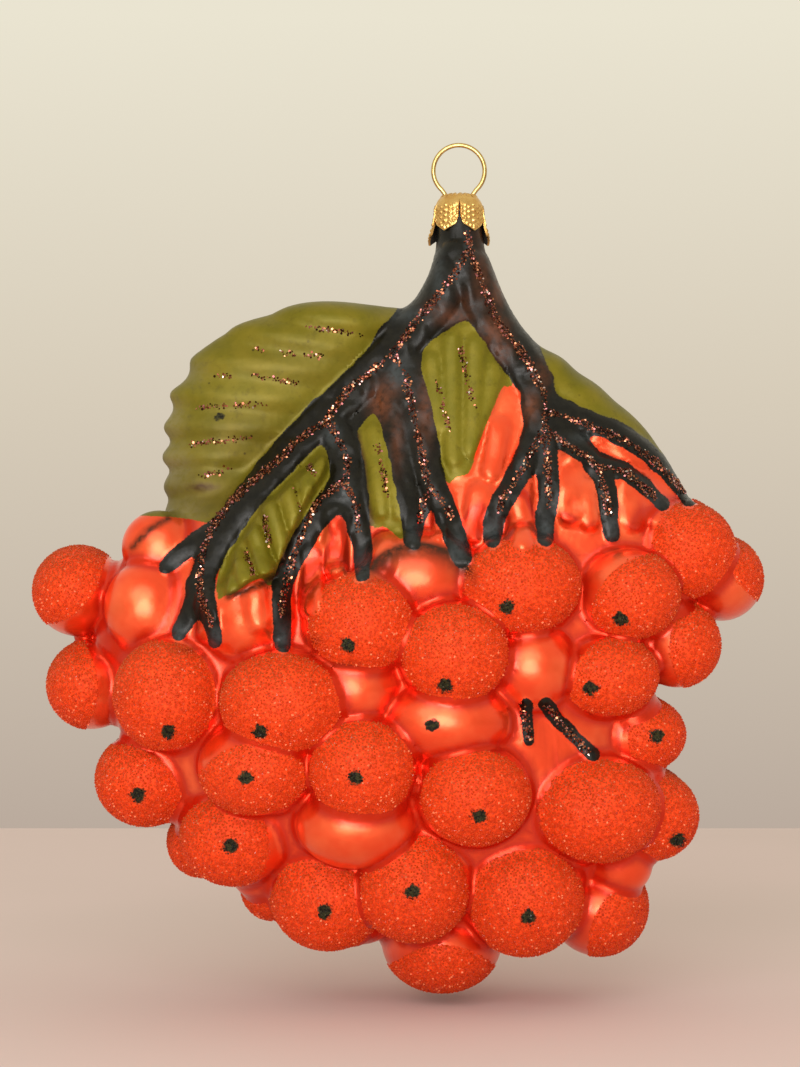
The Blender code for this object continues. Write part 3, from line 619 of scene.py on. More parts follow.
def placed_berries():
    """Every berry, front and back: middle, half sizes, and the row of the layout that it comes from."""
    chance = random.Random(SEED)
    berries = []
    for row in map(Row._make, RIM_BERRIES):
        radius = (row.half_width + row.half_height) / 2
        if row.calyx is None and (row.x, row.z) != UNMARKED_PAIR:
            halves = (row.half_width, radius * RIM_DEPTH_SPREAD, row.half_height)
            berries.append(((row.x, 0.0, row.z), halves, row, "rim"))
        else:
            halves = (row.half_width, radius * PAIR_DEPTH_SPREAD, row.half_height)
            for side in (-1, 1):
                berries.append(((row.x, side * PAIR_DEPTH, row.z), halves, row, "rim"))
    for layer, sink, kind in ((FRONT_BERRIES, FRONT_SINK, "sugared"), (SUNK_BERRIES, SUNK_SINK, "bare")):
        for row in map(Row._make, layer):
            radius = (row.half_width + row.half_height) / 2
            forward = row.begins if kind == "bare" else 0
            depth = max(LEAST_FRONT_DEPTH, depth_under(row.x, row.z) - sink + forward)
            seat_x, seat_z = drawn_in(row.x, row.z, depth)
            toward_rim = np.clip((abs(row.x - SIGHT_X) - RIM_FROM) / RIM_OVER, 0, 1)
            spread = SUGARED_SPREAD + (RIM_SPREAD - SUGARED_SPREAD) * toward_rim
            if kind == "bare":
                spread = BARE_SPREAD
            halves = (row.half_width * spread, radius, row.half_height * spread)
            berries.append(((seat_x, -depth, seat_z), halves, row, kind))
            back_x = seat_x + chance.uniform(-BACK_SHIFT, BACK_SHIFT)
            back_z = seat_z + chance.uniform(-BACK_SHIFT, BACK_SHIFT)
            berries.append(((back_x, depth, back_z), halves, row, kind))
    for x, depth, z, radius in FLANK_LOBES:
        for side in (-1, 1):
            row = Row(x, z, radius, radius, None, 0.0, None)
            berries.append(((x, side * depth, z), (radius, radius, radius), row, "bare"))
    return berries


BERRIES = placed_berries()


def trunk_field(places):
    """The tapered body behind the berries, a little thinner where they cover it."""
    sunk = np.clip((SUNK_FROM_Z - places[2]) / (SUNK_FROM_Z - SUNK_TO_Z), 0, 1)
    sunk = sunk * np.clip((places[2] - LIFTED_TO_Z) / (LIFTED_FROM_Z - LIFTED_TO_Z), 0, 1)
    return loft_field(SECTIONS, places, SECTION_EASE, TRUNK_SINK * sunk * sunk * (3 - 2 * sunk))


def add_leaf(field, outline, ribs):
    """A standing leaf with its ribs, blended into a field."""
    corners = np.array(outline)
    low = (corners[:, 0].min() - LEAF_ROOM, -LEAF_DEPTH_ROOM, corners[:, 1].min() - LEAF_ROOM)
    high = (corners[:, 0].max() + LEAF_ROOM, LEAF_DEPTH_ROOM, corners[:, 1].max() + LEAF_ROOM)
    spans, near = window(low, high)
    blade = leaf_field(near, outline)
    for root_x, root_z, tip_x, tip_z in ribs:
        centre = ((root_x + tip_x) / 2, 0.0, (root_z + tip_z) / 2)
        length = math.hypot(tip_x - root_x, tip_z - root_z) / 2
        turn = math.atan2(-(tip_z - root_z), tip_x - root_x)
        rib = egg_field(near, centre, (length, RIB_HALF_DEPTH, RIB_HALF_WIDTH), turn)
        blade = smaller(blade, rib, RIB_BLEND)
    field[spans] = smaller(field[spans], blade, SHOULDER_BLEND)


def body_field():
    """The glass before its relief: trunk and leaves, then berries with a ridge in each crease."""
    everywhere = window(GRID_LOW, GRID_HIGH)[1]
    first = trunk_field(everywhere)
    add_leaf(first, LEFT_LEAF, LEFT_RIBS)
    add_leaf(first, RIGHT_LEAF, RIGHT_RIBS)
    second = np.full_like(first, FAR)
    for centre, halves, row, kind in BERRIES:
        reach = max(halves) + BERRY_ROOM
        low = [c - reach for c in centre]
        high = [c + reach for c in centre]
        spans, near = window(low, high)
        berry = egg_field(near, centre, halves)
        old_first = first[spans]
        old_second = second[spans]
        closer = berry < old_first
        second[spans] = np.where(closer, old_first, np.minimum(old_second, berry))
        first[spans] = np.where(closer, berry, old_first)
    gap = second - first
    x, y, z = everywhere
    ridge = RIDGE_HEIGHT * (1 + lumps(x, z, RIDGE_LUMP, SEED + 5)) * np.exp(-(gap / RIDGE_WIDTH) ** 2)
    return smaller(first, second, CREASE_BLEND) - ridge


TWIG_COURSES = [rounded(course) for start, tip, course in TWIGS]


def twig_relief(x, z):
    """How far the twigs raise the skin at a place of the layout, a little more where they meet."""
    total = np.zeros(np.shape(x), np.float32)
    for (start_radius, tip_radius, course), line in zip(TWIGS, TWIG_COURSES):
        distance, share = line_distance(x, z, line)
        radius = start_radius + (tip_radius - start_radius) * share
        total += (radius * TWIG_PROUD * bump(distance / (radius * TWIG_PAINT))) ** FORK_FILL
    coarse, coarse_size = COARSE_KNOTS
    fine, fine_size = FINE_KNOTS
    knots = 1 + coarse * lumps(x, z, coarse_size, SEED) + fine * lumps(x, z, fine_size, SEED + 1)
    return total ** (1 / FORK_FILL) * knots


def swelling_relief(x, z, swellings):
    """How far swellings raise the skin, each one highest along its own line."""
    height = np.zeros(np.shape(x), np.float32)
    for ax, az, bx, bz, half_width, rise in swellings:
        distance = line_distance(x, z, np.array(((ax, az), (bx, bz)), float))[0]
        share = distance / (half_width * SWELLING_SOFTNESS)
        height = np.maximum(height, rise * eased(np.clip(1 - share * share, 0, 1)))
    return height


def relief(x, z):
    """The low relief of both faces of the mould."""
    wander = SKIRT_WANDER * lumps(x, z, SKIRT_LUMP, SEED + 3)
    height = swelling_relief(x, z, SKIRT_SWELLINGS) * (1 + wander)
    swelling = swelling_relief(x, z, LEAF_SWELLINGS)
    for outline, rise in PRESSED_LEAVES:
        covered = np.clip(0.5 - outline_distance(x, z, rounded_outline(outline)), 0, 1)
        height = np.maximum(height, covered * (rise + swelling))
    return np.maximum(height, twig_relief(x, z) + np.minimum(height, CROSSING_RISE))


class Sheet:
    """A value worked out once over the layout, and read anywhere on it."""

    def __init__(self, make):
        self.low = (GRID_LOW[0] - SHEET_MARGIN, GRID_LOW[2] - SHEET_MARGIN)
        xs = np.arange(self.low[0], GRID_HIGH[0] + SHEET_MARGIN, SHEET_STEP, dtype=np.float32)
        zs = np.arange(self.low[1], GRID_HIGH[2] + SHEET_MARGIN, SHEET_STEP, dtype=np.float32)
        self.values = make(*np.meshgrid(xs, zs, indexing="ij")).astype(np.float32)

    def at(self, x, z):
        last_u, last_v = (count - LAST_CELL for count in self.values.shape)
        u = np.clip((x - self.low[0]) / SHEET_STEP, 0, last_u)
        v = np.clip((z - self.low[1]) / SHEET_STEP, 0, last_v)
        return table_value(self.values, u, v)


def glass_field():
    """The whole glass: the body with its low relief, less the bore in the neck."""
    field = body_field()
    sheet = Sheet(relief)
    near = np.nonzero(np.abs(field) < RELIEF_ROOM)
    x, y, z = (steps[index] for steps, index in zip(STEPS, near))
    field[near] -= sheet.at(*laid_out(x, y, z))
    spans, places = window(BORE_LOW, BORE_HIGH)
    bore = loft_field(BORE, places, (0.0,))
    field[spans] = np.maximum(field[spans], -bore)
    return field


def read_field(field, points):
    """The field between its grid points."""
    place = (points - np.array(GRID_LOW)) / CELL
    place = np.clip(place, 0, np.array(field.shape) - LAST_CELL)
    index = place.astype(np.int32)
    share = place - index
    i, j, k = index.T
    u, v, w = share.T
    total = 0.0
    for a in (0, 1):
        for b in (0, 1):
            for c in (0, 1):
                weight = (u if a else 1 - u) * (v if b else 1 - v) * (w if c else 1 - w)
                total = total + weight * field[i + a, j + b, k + c]
    return total


def read_slope(field, points, reach=0.3):
    """Which way and how fast the field grows at each point."""
    slopes = []
    for axis in range(3):
        step = np.zeros(3)
        step[axis] = reach
        growth = read_field(field, points + step) - read_field(field, points - step)
        slopes.append(growth / (2 * reach))
    return np.stack(slopes, axis=1)


def skin_mesh(field):
    """Points and four-sided faces of the field's zero level."""
    inside = field < 0
    wide, deep, high = (size - 1 for size in inside.shape)
    count = np.zeros((wide, deep, high), np.int8)
    for a in (0, 1):
        for b in (0, 1):
            for c in (0, 1):
                count += inside[a:wide + a, b:deep + b, c:high + c]
    active = (count > 0) & (count < 8)
    number = np.full(active.shape, -1, np.int32)
    cells = np.argwhere(active)
    number[active] = np.arange(len(cells), dtype=np.int32)
    total = np.zeros((len(cells), 3))
    crossings = np.zeros(len(cells))
    for axis in range(3):
        others = [other for other in range(3) if other != axis]
        for a in (0, 1):
            for b in (0, 1):
                start = cells.copy()
                start[:, others[0]] += a
                start[:, others[1]] += b
                end = start.copy()
                end[:, axis] += 1
                near = field[tuple(start.T)]
                far = field[tuple(end.T)]
                crossed = (near < 0) != (far < 0)
                share = near[crossed] / (near[crossed] - far[crossed])
                place = start[crossed].astype(float)
                place[:, axis] += share
                total[crossed] += place
                crossings[crossed] += 1
    points = total / crossings[:, None] * CELL + np.array(GRID_LOW)
    faces = []
    for axis in range(3):
        first_other, second_other = [(1, 2), (2, 0), (0, 1)][axis]
        low = [slice(1, -1)] * 3
        high = [slice(1, -1)] * 3
        low[axis] = slice(0, -1)
        high[axis] = slice(1, None)
        starts = inside[tuple(low)]
        ends = inside[tuple(high)]
        for leaving, flipped in ((starts & ~ends, False), (~starts & ends, True)):
            edges = np.argwhere(leaving)
            offset = np.ones(3, int)
            offset[axis] = 0
            edges = edges + offset
            ring = []
            for a, b in ((-1, -1), (0, -1), (0, 0), (-1, 0)):
                cell = edges.copy()
                cell[:, first_other] += a
                cell[:, second_other] += b
                ring.append(number[tuple(cell.T)])
            if flipped:
                ring.reverse()
            faces.append(np.stack(ring, axis=1))
    return points, np.vstack(faces)


def settled(field, points, rounds=2, least=0.05):
    """Points moved on to the field's zero, with a least steepness so that none leaps away."""
    for _ in range(rounds):
        slope = read_slope(field, points)
        steep = np.maximum((slope ** 2).sum(axis=1), least)
        points = points - slope * (read_field(field, points) / steep)[:, None]
    return points


# ---- making pieces -----------------------------------------------------------------------------------------
def mesh_piece(name, points, faces, materials):
    """A piece from points in millimetres."""
    mesh = bpy.data.meshes.new(name)
    mesh.from_pydata((np.asarray(points) * MM).tolist(), [], [list(face) for face in faces])
    mesh.update()
    for material in materials:
        mesh.materials.append(material)
    piece = bpy.data.objects.new(name, mesh)
    bpy.context.scene.collection.objects.link(piece)
    return piece


def plain_mesh(piece):
    """The piece's mesh with its modifiers applied and taken off."""
    graph = bpy.context.evaluated_depsgraph_get()
    mesh = bpy.data.meshes.new_from_object(piece.evaluated_get(graph))
    piece.modifiers.clear()
    piece.data = mesh
    return piece


def thinned(piece, triangles):
    """The piece with no more than this many triangles, fewest where it is flattest."""
    count = sum(len(face.vertices) - 2 for face in piece.data.polygons)
    if count > triangles:
        thinning = piece.modifiers.new("Thin", "DECIMATE")
        thinning.ratio = triangles / count
        plain_mesh(piece)
    return piece


def set_values(piece, name, values):
    """One value for each point, which a material or a tree can read by its name."""
    attribute = piece.data.attributes.new(name, "FLOAT", "POINT")
    attribute.data.foreach_set("value", np.asarray(values, np.float32))


def points_of(piece):
    """The piece's points in millimetres."""
    places = np.zeros(len(piece.data.vertices) * 3, np.float32)
    piece.data.vertices.foreach_get("co", places)
    return places.reshape(-1, 3).astype(float) / MM


# ---- what is painted where ---------------------------------------------------------------------------------
def twig_edge(x, z):
    """Distance to the edge of the black paint, below 0 on it."""
    edge = outline_distance(x, z, rounded_outline(STEM_PAINT))
    edge = smaller(edge, outline_distance(x, z, np.array(WEB_PAINT, float)), STEM_WEB)
    for (start_radius, tip_radius, course), line in zip(TWIGS, TWIG_COURSES):
        distance, share = line_distance(x, z, line)
        radius = start_radius + (tip_radius - start_radius) * share
        edge = smaller(edge, distance - radius * TWIG_PAINT, PAINT_WEB)
    return edge + PAINT_WANDER * lumps(x, z, PAINT_LUMP, SEED + 2)


# The green of the standing leaves, which runs past their outer edges.
LEFT_LEAF_PAINT = (
    (-5, -20), (-48, -20), (-48, -55.2), (-43.4, -55.4), (-40.0, -55.8), (-36.5, -56.6), (-33, -53),
    (-26, -46), (-18, -38), (-10, -30),
)
RIGHT_LEAF_PAINT = (
    (8, -22), (40, -22), (40, -50.5), (33.5, -51.2), (30.8, -48.2), (27.2, -45.0), (23.3, -43.0),
    (19.1, -41.2), (15.8, -40.0), (12.5, -38), (9, -31),
)
# Green runs on under black paint that is nearer than the first of these, by no more than the second.
BLACK_NEAR = 1.7
GREEN_UNDER = 1.3


def leaf_edge(x, z, black):
    """Distance to the edge of the green paint, below 0 on it."""
    edge = outline_distance(x, z, np.array(LEFT_LEAF_PAINT, float))
    edge = np.minimum(edge, outline_distance(x, z, np.array(RIGHT_LEAF_PAINT, float)))
    beside = np.clip(BLACK_NEAR - black, 0, GREEN_UNDER)
    for outline, rise in PRESSED_LEAVES:
        edge = np.minimum(edge, outline_distance(x, z, rounded_outline(outline)) - beside)
    return edge


def glitter_edge(x, z):
    """Distance to the edge of the glitter, below 0 in it."""
    edge = np.full(np.shape(x), FAR, np.float32)
    for course in TWIG_GLITTER:
        distance = line_distance(x, z, rounded(course, 3))[0]
        edge = np.minimum(edge, distance - GLITTER_HALF_WIDTH)
    for course in LEAF_GLITTER:
        distance = line_distance(x, z, np.array(course, float))[0]
        edge = np.minimum(edge, distance - GLITTER_HALF_WIDTH * VEIN_GLITTER_SHARE)
    return edge + GLITTER_GAPS * np.maximum(0, lumps(x, z, GLITTER_LUMP, SEED + 12))


# Spots of rust, airbrush, painted shade and painted highlight: x, z, half width, half height, strength. A
# spot fades out by this much at its edge.
SPOT_FADE = 1.2
# Rust on the stem and the twigs.
RUST_SPOTS = (
    (3.6, -19.5, 1.6, 5.0, 0.45), (3.4, -12.5, 1.4, 2.5, 0.3), (1.0, -23.5, 1.6, 2.0, 0.35),
    (-11.7, -38.2, 1.8, 2.8, 1.0), (-0.8, -25.4, 3.0, 1.3, 0.7), (5.4, -27.4, 2.2, 2.6, 0.8),
    (5.9, -21.6, 1.2, 3.0, 0.7), (6.4, -30.5, 1.6, 2.0, 0.7), (10.8, -38.8, 1.3, 2.2, 0.8),
    (-5.0, -39.5, 1.4, 5.0, 0.6), (-3.2, -24.2, 2.2, 1.3, 0.5), (-9.3, -44.0, 1.0, 4.5, 0.5),
    (-10.5, -36.0, 1.8, 1.8, 0.7), (12.6, -34.0, 1.5, 2.5, 0.4),
)
# Painted highlights in bluish grey on the twigs' tips and forks, and a pale margin on the left leaf.
SHEEN_AND_PALE_SPOTS = (
    (1.3, -13.6, 0.5, 2.8, 0.8), (-9.4, -34.2, 1.8, 2.2, 1.0), (-19.0, -43.2, 1.3, 1.6, 1.0),
    (-17.0, -51.6, 1.3, 1.5, 1.0), (12.9, -44.5, 0.9, 2.2, 0.9), (-42.0, -72.6, 1.2, 1.8, 0.9),
    (-36.3, -73.6, 1.2, 1.8, 0.9), (-26.5, -73.5, 1.3, 2.4, 0.9), (-14.5, -62.5, 1.3, 2.6, 0.8),
    (0.0, -60.0, 1.3, 2.4, 0.9), (-6.9, -57.6, 1.2, 2.2, 0.6), (5.0, -57.4, 1.3, 2.4, 0.9),
    (13.0, -57.2, 1.3, 2.4, 0.9), (23.0, -56.8, 1.2, 2.2, 0.9), (29.5, -53.0, 1.4, 1.4, 0.5),
    (-43.0, -62.5, 1.6, 1.2, 0.5), (-7.3, -25.0, 4.5, 1.2, 0.6), (18.5, -43.6, 2.4, 0.8, 0.5),
    (17.5, -89.2, 2.2, 1.6, 0.7), (9.5, -48.8, 0.8, 2.8, 0.5), (-3.0, -19.5, 1.0, 5.0, 0.6),
    (-40.5, -33.5, 3.0, 2.6, 0.5), (-43.3, -40.5, 2.4, 4.2, 0.7), (-43.0, -48.0, 3.2, 4.5, 0.8),
    (-41.0, -54.5, 3.2, 2.6, 0.6),
)
# Dark airbrush and painted shade: spots, some of them shade over the left leaf, the web that joins the second
# fork, and painted shadow lines in two creases under leaves.
AIRBRUSH_AND_SHADE_SPOTS = (
    (-40.5, -75.4, 2.6, 0.6, 0.5), (-21.6, -74.0, 1.2, 0.9, 0.5), (-15.4, -57.0, 2.2, 2.0, 0.5),
    (-38.3, -50.9, 3.2, 1.0, 0.8), (-38.0, -52.0, 9.0, 6.0, 0.34), (-33.0, -44.0, 10.0, 7.0, 0.26),
    (-26.0, -32.0, 12.0, 6.0, 0.14), (-17.5, -77.6, 3.0, 0.5, 0.5),
)
BROWN_WEB = (
    (-16.6, -42.0), (-15.0, -42.6), (-13.9, -47.5), (-13.5, -52.5), (-12.6, -57.0), (-14.0, -57.5),
    (-15.2, -52.0), (-16.2, -47.5),
)
# Painted shadow lines under the folded leaf and under the left leaf.
SHADOW_LINES = (
    ((-34.5, -67.4), (-30.6, -65.9), (-27.4, -64.4)), ((-43.5, -55.6), (-46.5, -57.4), (-49.0, -60.0)),
)
WEB_STRENGTH = 0.85
WEB_SOFTNESS = 0.8
SHADOW_LINE_STRENGTH = 0.9
SHADOW_LINE_WIDTH = 0.55
AIRBRUSH_AND_SHADE_GAIN = 1.3
# The plain berry under the middle twigs is airbrushed dark along its top as painted shade: middle x, z, half
# width, half height.
SHADED_TOP = (-6.0, -66.2, 8.4, 6.8)
SHADED_TOP_STRENGTH = 0.8
SHADED_TOP_FADE_IN = 2.6
SHADED_TOP_FADE_OUT = 0.45
SHADED_TOP_RISE = 3.0
# One small dark speck on the left leaf, with its radius.
LEAF_SPECK = (-35.9, -40.4)
LEAF_SPECK_RADIUS = 1.1


def spots(x, z, places):
    """Strength of sprayed spots, painted shade and painted highlight among them, 0 where there are none."""
    total = np.zeros(np.shape(x), np.float32)
    for middle_x, middle_z, wide, high, strength in places:
        near = ((x - middle_x) / wide) ** 2 + ((z - middle_z) / high) ** 2
        total = np.maximum(total, strength * np.exp(-near * SPOT_FADE))
    return total


def shaded_top(x, z):
    """Painted shade that is darkest along a berry's upper edge and fades down over it."""
    middle_x, middle_z, wide, high = SHADED_TOP
    beyond = (np.hypot((x - middle_x) / wide, (z - middle_z) / high) - 1) * high
    fade = np.where(beyond > 0, SHADED_TOP_FADE_OUT, SHADED_TOP_FADE_IN)
    return np.exp(-(beyond / fade) ** 2) * np.clip((z - middle_z) / SHADED_TOP_RISE, 0, 1)


def airbrush_and_shade(x, z):
    """Dark airbrush and painted shade, 0 to 1."""
    total = np.maximum(spots(x, z, AIRBRUSH_AND_SHADE_SPOTS), SHADED_TOP_STRENGTH * shaded_top(x, z))
    web = outline_distance(x, z, np.array(BROWN_WEB, float))
    total = np.maximum(total, WEB_STRENGTH * np.clip(0.5 - web / WEB_SOFTNESS, 0, 1))
    # Painted shadow: dark lines in the creases under two leaves.
    for course in SHADOW_LINES:
        distance = line_distance(x, z, rounded(course))[0]
        total = np.maximum(total, SHADOW_LINE_STRENGTH * np.exp(-(distance / SHADOW_LINE_WIDTH) ** 2))
    return np.minimum(1.0, total * AIRBRUSH_AND_SHADE_GAIN)


def sugar_edge(centre, halves, row, kind, local_x, local_z):
    """Distance to the edge of one berry's sugar, below 0 on it."""
    if kind == "bare":
        return np.full(local_x.shape, UNPAINTED)
    edge = np.full(local_x.shape, -UNPAINTED)
    size = (halves[0] + halves[2]) / 2
    if kind == "sugared":
        reach = np.hypot(local_x / row.half_width, local_z / row.half_height)
        outward_x = (centre[0] - SIGHT_X) / OUTER_OVER_X
        outward_z = min(0.0, (centre[2] - OUTER_BELOW_Z) / OUTER_OVER_Z)
        outward = np.maximum(0, local_x * outward_x + local_z * outward_z) / size
        edge = (reach - SUGAR_REACH) * size - OUTER_REACH * outward
    if row.bare_toward is not None:
        angle = math.radians(row.bare_toward)
        away_x = local_x - math.cos(angle) * (row.begins - BARE_CURVE)
        away_z = local_z - math.sin(angle) * (row.begins - BARE_CURVE)
        edge = np.maximum(edge, np.hypot(away_x, away_z) - BARE_CURVE)
    return edge


def calyx_edge(centre, row, points):
    """Distance to the edge of one berry's calyx mark, which is only on the side that faces out."""
    x, y, z = points
    if row.calyx is None:
        return np.full(y.shape, UNPAINTED)
    layout_x, layout_z = laid_out(x, y, z)
    middle_x, middle_z = laid_out(np.float64(centre[0]), centre[1], centre[2])
    across = row.calyx[0] - row.x
    above = row.calyx[1] - row.z
    edge = np.hypot(layout_x - middle_x - across, layout_z - middle_z - above) - CALYX_RADIUS
    faces_out = (y - centre[1]) * centre[1] > 0
    return np.where(faces_out, edge, UNPAINTED)


def berry_paint(points):
    """For each point: edge of the sugar, edge of a calyx mark, closeness to a crease, brown painted shade."""
    x, y, z = points.T
    nearest = trunk_field((x, y, z)).astype(float)
    following = np.full(len(points), 1e9)
    sugar = np.full(len(points), UNPAINTED)
    calyx = np.full(len(points), UNPAINTED)
    painted_top_shade = np.zeros(len(points))
    for centre, halves, row, kind in BERRIES:
        distance = egg_field((x, y, z), centre, halves)
        closer = distance < nearest
        following = np.where(closer, nearest, np.minimum(following, distance))
        nearest = np.where(closer, distance, nearest)
        local_x = x - centre[0]
        local_z = z - centre[2]
        sugar = np.where(closer, sugar_edge(centre, halves, row, kind, local_x, local_z), sugar)
        calyx = np.where(closer, calyx_edge(centre, row, (x, y, z)), calyx)
        # Painted shade: stronger toward each berry's upper left.
        upward = local_z / row.half_height * TOP_SHADE_RISE + TOP_SHADE_START
        upper_left = np.clip(upward - TOP_SHADE_LEAN * local_x / row.half_width, 0, 1)
        painted_top_shade = np.where(closer, TOP_SHADE_STRENGTH * upper_left, painted_top_shade)
    gap = following - nearest
    sugar = np.maximum(sugar, CREASE_MARGIN - gap)
    sugar = np.maximum(sugar, nearest - SUGAR_STANDOFF)
    calyx = np.where(nearest < CALYX_STANDOFF, calyx, UNPAINTED)
    return sugar, calyx, np.exp(-gap / CREASE_FADE), painted_top_shade


def paint_skin(piece):
    """Everything that is painted or glued on the skin, as values on its points."""
    points = points_of(piece)
    x, z = laid_out(*points.T)
    twig_sheet = Sheet(twig_edge)
    black = twig_sheet.at(x, z)
    set_values(piece, "twig_edge", black)
    leaf_sheet = Sheet(lambda sheet_x, sheet_z: leaf_edge(sheet_x, sheet_z, twig_sheet.at(sheet_x, sheet_z)))
    set_values(piece, "leaf_edge", leaf_sheet.at(x, z))
    set_values(piece, "glitter_edge", Sheet(glitter_edge).at(x, z))
    set_values(piece, "rust", spots(x, z, RUST_SPOTS))
    set_values(piece, "sheen_and_pale_margin", spots(x, z, SHEEN_AND_PALE_SPOTS))
    set_values(piece, "airbrush_and_shade", Sheet(airbrush_and_shade).at(x, z))
    sugar, calyx, crease, painted_top_shade = berry_paint(points)
    set_values(piece, "sugar_edge", np.maximum(sugar, TWIG_MARGIN - black))
    speck = np.hypot(x - LEAF_SPECK[0], z - LEAF_SPECK[1]) - LEAF_SPECK_RADIUS
    set_values(piece, "calyx_edge", np.minimum(calyx, speck))
    set_values(piece, "crease", crease)
    set_values(piece, "painted_top_shade", painted_top_shade)


# ---- materials ---------------------------------------------------------------------------------------------
def feed(tree, socket, value):
    """Links a socket, or sets it; a colour may leave out its fourth number."""
    if isinstance(value, bpy.types.NodeSocket):
        tree.links.new(value, socket)
    elif isinstance(value, tuple) and len(value) == 3 and socket.type == "RGBA":
        socket.default_value = (*value, 1.0)
    else:
        socket.default_value = value


def add_node(tree, kind, settings=None, **inputs):
    """A node with its settings; its inputs go by name, or by number as _0, _1 and so on."""
    made = tree.nodes.new(kind)
    for label, value in (settings or {}).items():
        setattr(made, label, value)
    for label, value in inputs.items():
        key = int(label[1:]) if label[1:].isdigit() else label.replace("_", " ")
        feed(tree, made.inputs[key], value)
    return made


class Finish:
    """A material being made: short words for its nodes."""

    def __init__(self, name, **constants):
        self.material = bpy.data.materials.new(name)
        self.material.use_nodes = True
        self.tree = self.material.node_tree
        self.shader = self.tree.nodes["Principled BSDF"]
        self.set(**constants)
        self.place = self.tree.nodes.new("ShaderNodeTexCoord").outputs["Object"]

    def node(self, kind, settings=None, **inputs):
        return add_node(self.tree, kind, settings, **inputs)

    def set(self, **inputs):
        """Sets or links inputs of the shader."""
        for label, value in inputs.items():
            feed(self.tree, self.shader.inputs[label.replace("_", " ")], value)

    def value(self, name):
        return self.node("ShaderNodeAttribute", {"attribute_name": name}).outputs["Fac"]

    def noise(self, size, detail=3.0, rough=0.6):
        """Noise whose lumps are this many millimetres across."""
        made = self.node("ShaderNodeTexNoise", Vector=self.place, Scale=1 / (size * MM), Detail=detail,
                         Roughness=rough)
        return made.outputs["Fac"]

    def cells(self, size):
        """Distance to the nearest of chance points this many millimetres apart."""
        made = self.node("ShaderNodeTexVoronoi", Vector=self.place, Scale=1 / (size * MM))
        return made.outputs["Distance"]

    def math(self, operation, a, b=0.0):
        return self.node("ShaderNodeMath", {"operation": operation}, _0=a, _1=b).outputs[0]

    def frayed(self, name, noise, amount):
        """An edge that the skin carries, made uneven by noise."""
        return self.math("ADD", self.value(name), self.math("MULTIPLY", noise, amount))

    def sprayed(self, name, share):
        """A sprayed value that the skin carries, for airbrush, painted shade and painted highlight alike,
        broken up by a share.
        """
        return self.math("MULTIPLY", self.value(name), share)

    def span(self, value, low, high, to_low=0.0, to_high=1.0):
        """A value between two others turned into a share, eased at both ends."""
        made = self.node("ShaderNodeMapRange", {"interpolation_type": "SMOOTHSTEP"}, Value=value,
                         From_Min=low, From_Max=high, To_Min=to_low, To_Max=to_high)
        return made.outputs["Result"]

    def mix(self, share, a, b):
        """A colour between two."""
        return self.node("ShaderNodeMix", {"data_type": "RGBA"}, _0=share, _6=a, _7=b).outputs[2]

    def between(self, share, a, b):
        """A number between two."""
        return self.node("ShaderNodeMix", {"data_type": "FLOAT"}, _0=share, _2=a, _3=b).outputs[0]

    def layered(self, base, *layers):
        """A number that the share of each layer takes over in turn."""
        for share, value in layers:
            base = self.between(share, base, value)
        return base

    def bump(self, height, distance, strength=1.0):
        made = self.node("ShaderNodeBump", Height=height, Distance=distance * MM, Strength=strength)
        self.set(Normal=made.outputs["Normal"])


def srgb(red, green, blue):
    """A colour in 0 to 255 as the shader's linear numbers."""
    return tuple(((c / 255 + 0.055) / 1.055) ** 2.4 if c > 10 else c / 3295 for c in (red, green, blue))


LACQUER_RED = srgb(246, 75, 27)
# The deeper red is painted shade for the creases.
LACQUER_CREASE_SHADE = srgb(202, 36, 10)
LACQUER_PINK = srgb(253, 106, 56)
SUGAR_BED = srgb(198, 54, 13)
LEAF_GREEN = srgb(102, 95, 15)
LEAF_GOLD = srgb(120, 108, 26)
LEAF_PALE = srgb(138, 128, 88)
LEAF_DARK = srgb(72, 64, 12)
TWIG_BLACK = srgb(12, 11, 7)
TWIG_SOFT = srgb(23, 21, 14)
# Bluish grey for painted highlights on the twigs.
TWIG_PAINTED_SHEEN = srgb(60, 66, 68)
TWIG_RUST = srgb(100, 56, 34)
AIRBRUSH_AND_SHADE_BROWN = srgb(58, 32, 18)
CALYX_OLIVE = srgb(52, 50, 26)
CALYX_BLACK = srgb(18, 16, 12)
SUGAR_RED = srgb(194, 53, 9)
SUGAR_WARM = srgb(206, 67, 12)
SUGAR_CLOUD = srgb(196, 62, 12)
SUGAR_DEEP = srgb(150, 34, 14)
# Brown for the painted shade on the sugar.
SUGAR_TOP_SHADE = srgb(158, 64, 16)
# Pale peach for painted glints on the sugar.
SUGAR_PAINTED_GLINT = srgb(255, 150, 104)
FLAKE_DARK = srgb(56, 30, 24)
FLAKE_COPPER = srgb(146, 82, 60)
FLAKE_BRIGHT = srgb(198, 134, 98)
FLAKE_ROSE = srgb(196, 120, 122)
FLAKE_SILVER = srgb(248, 238, 226)
FLAKE_BURNT = srgb(120, 62, 48)
GOLD_BRIGHT = srgb(232, 192, 118)
GOLD_WORN = srgb(210, 162, 88)
INSIDE_DARK = srgb(14, 11, 9)
INSIDE_BROWN = srgb(34, 26, 18)
WIRE_BRIGHT = srgb(216, 188, 126)
WIRE_WORN = srgb(190, 158, 98)
BOARD_PALE = srgb(219, 199, 196)
BOARD_DIM = srgb(213, 195, 191)


def red_lacquer(finish, cloud, crease):
    """Orange red, pink in places, and a deeper red painted into the creases as shade."""
    red = finish.mix(finish.span(cloud, 0.4, 0.75), LACQUER_RED, LACQUER_PINK)
    # Painted shade: the creases take a deeper red.
    return finish.mix(finish.span(crease, 0.12, 0.45, 0.0, 0.85), red, LACQUER_CREASE_SHADE)


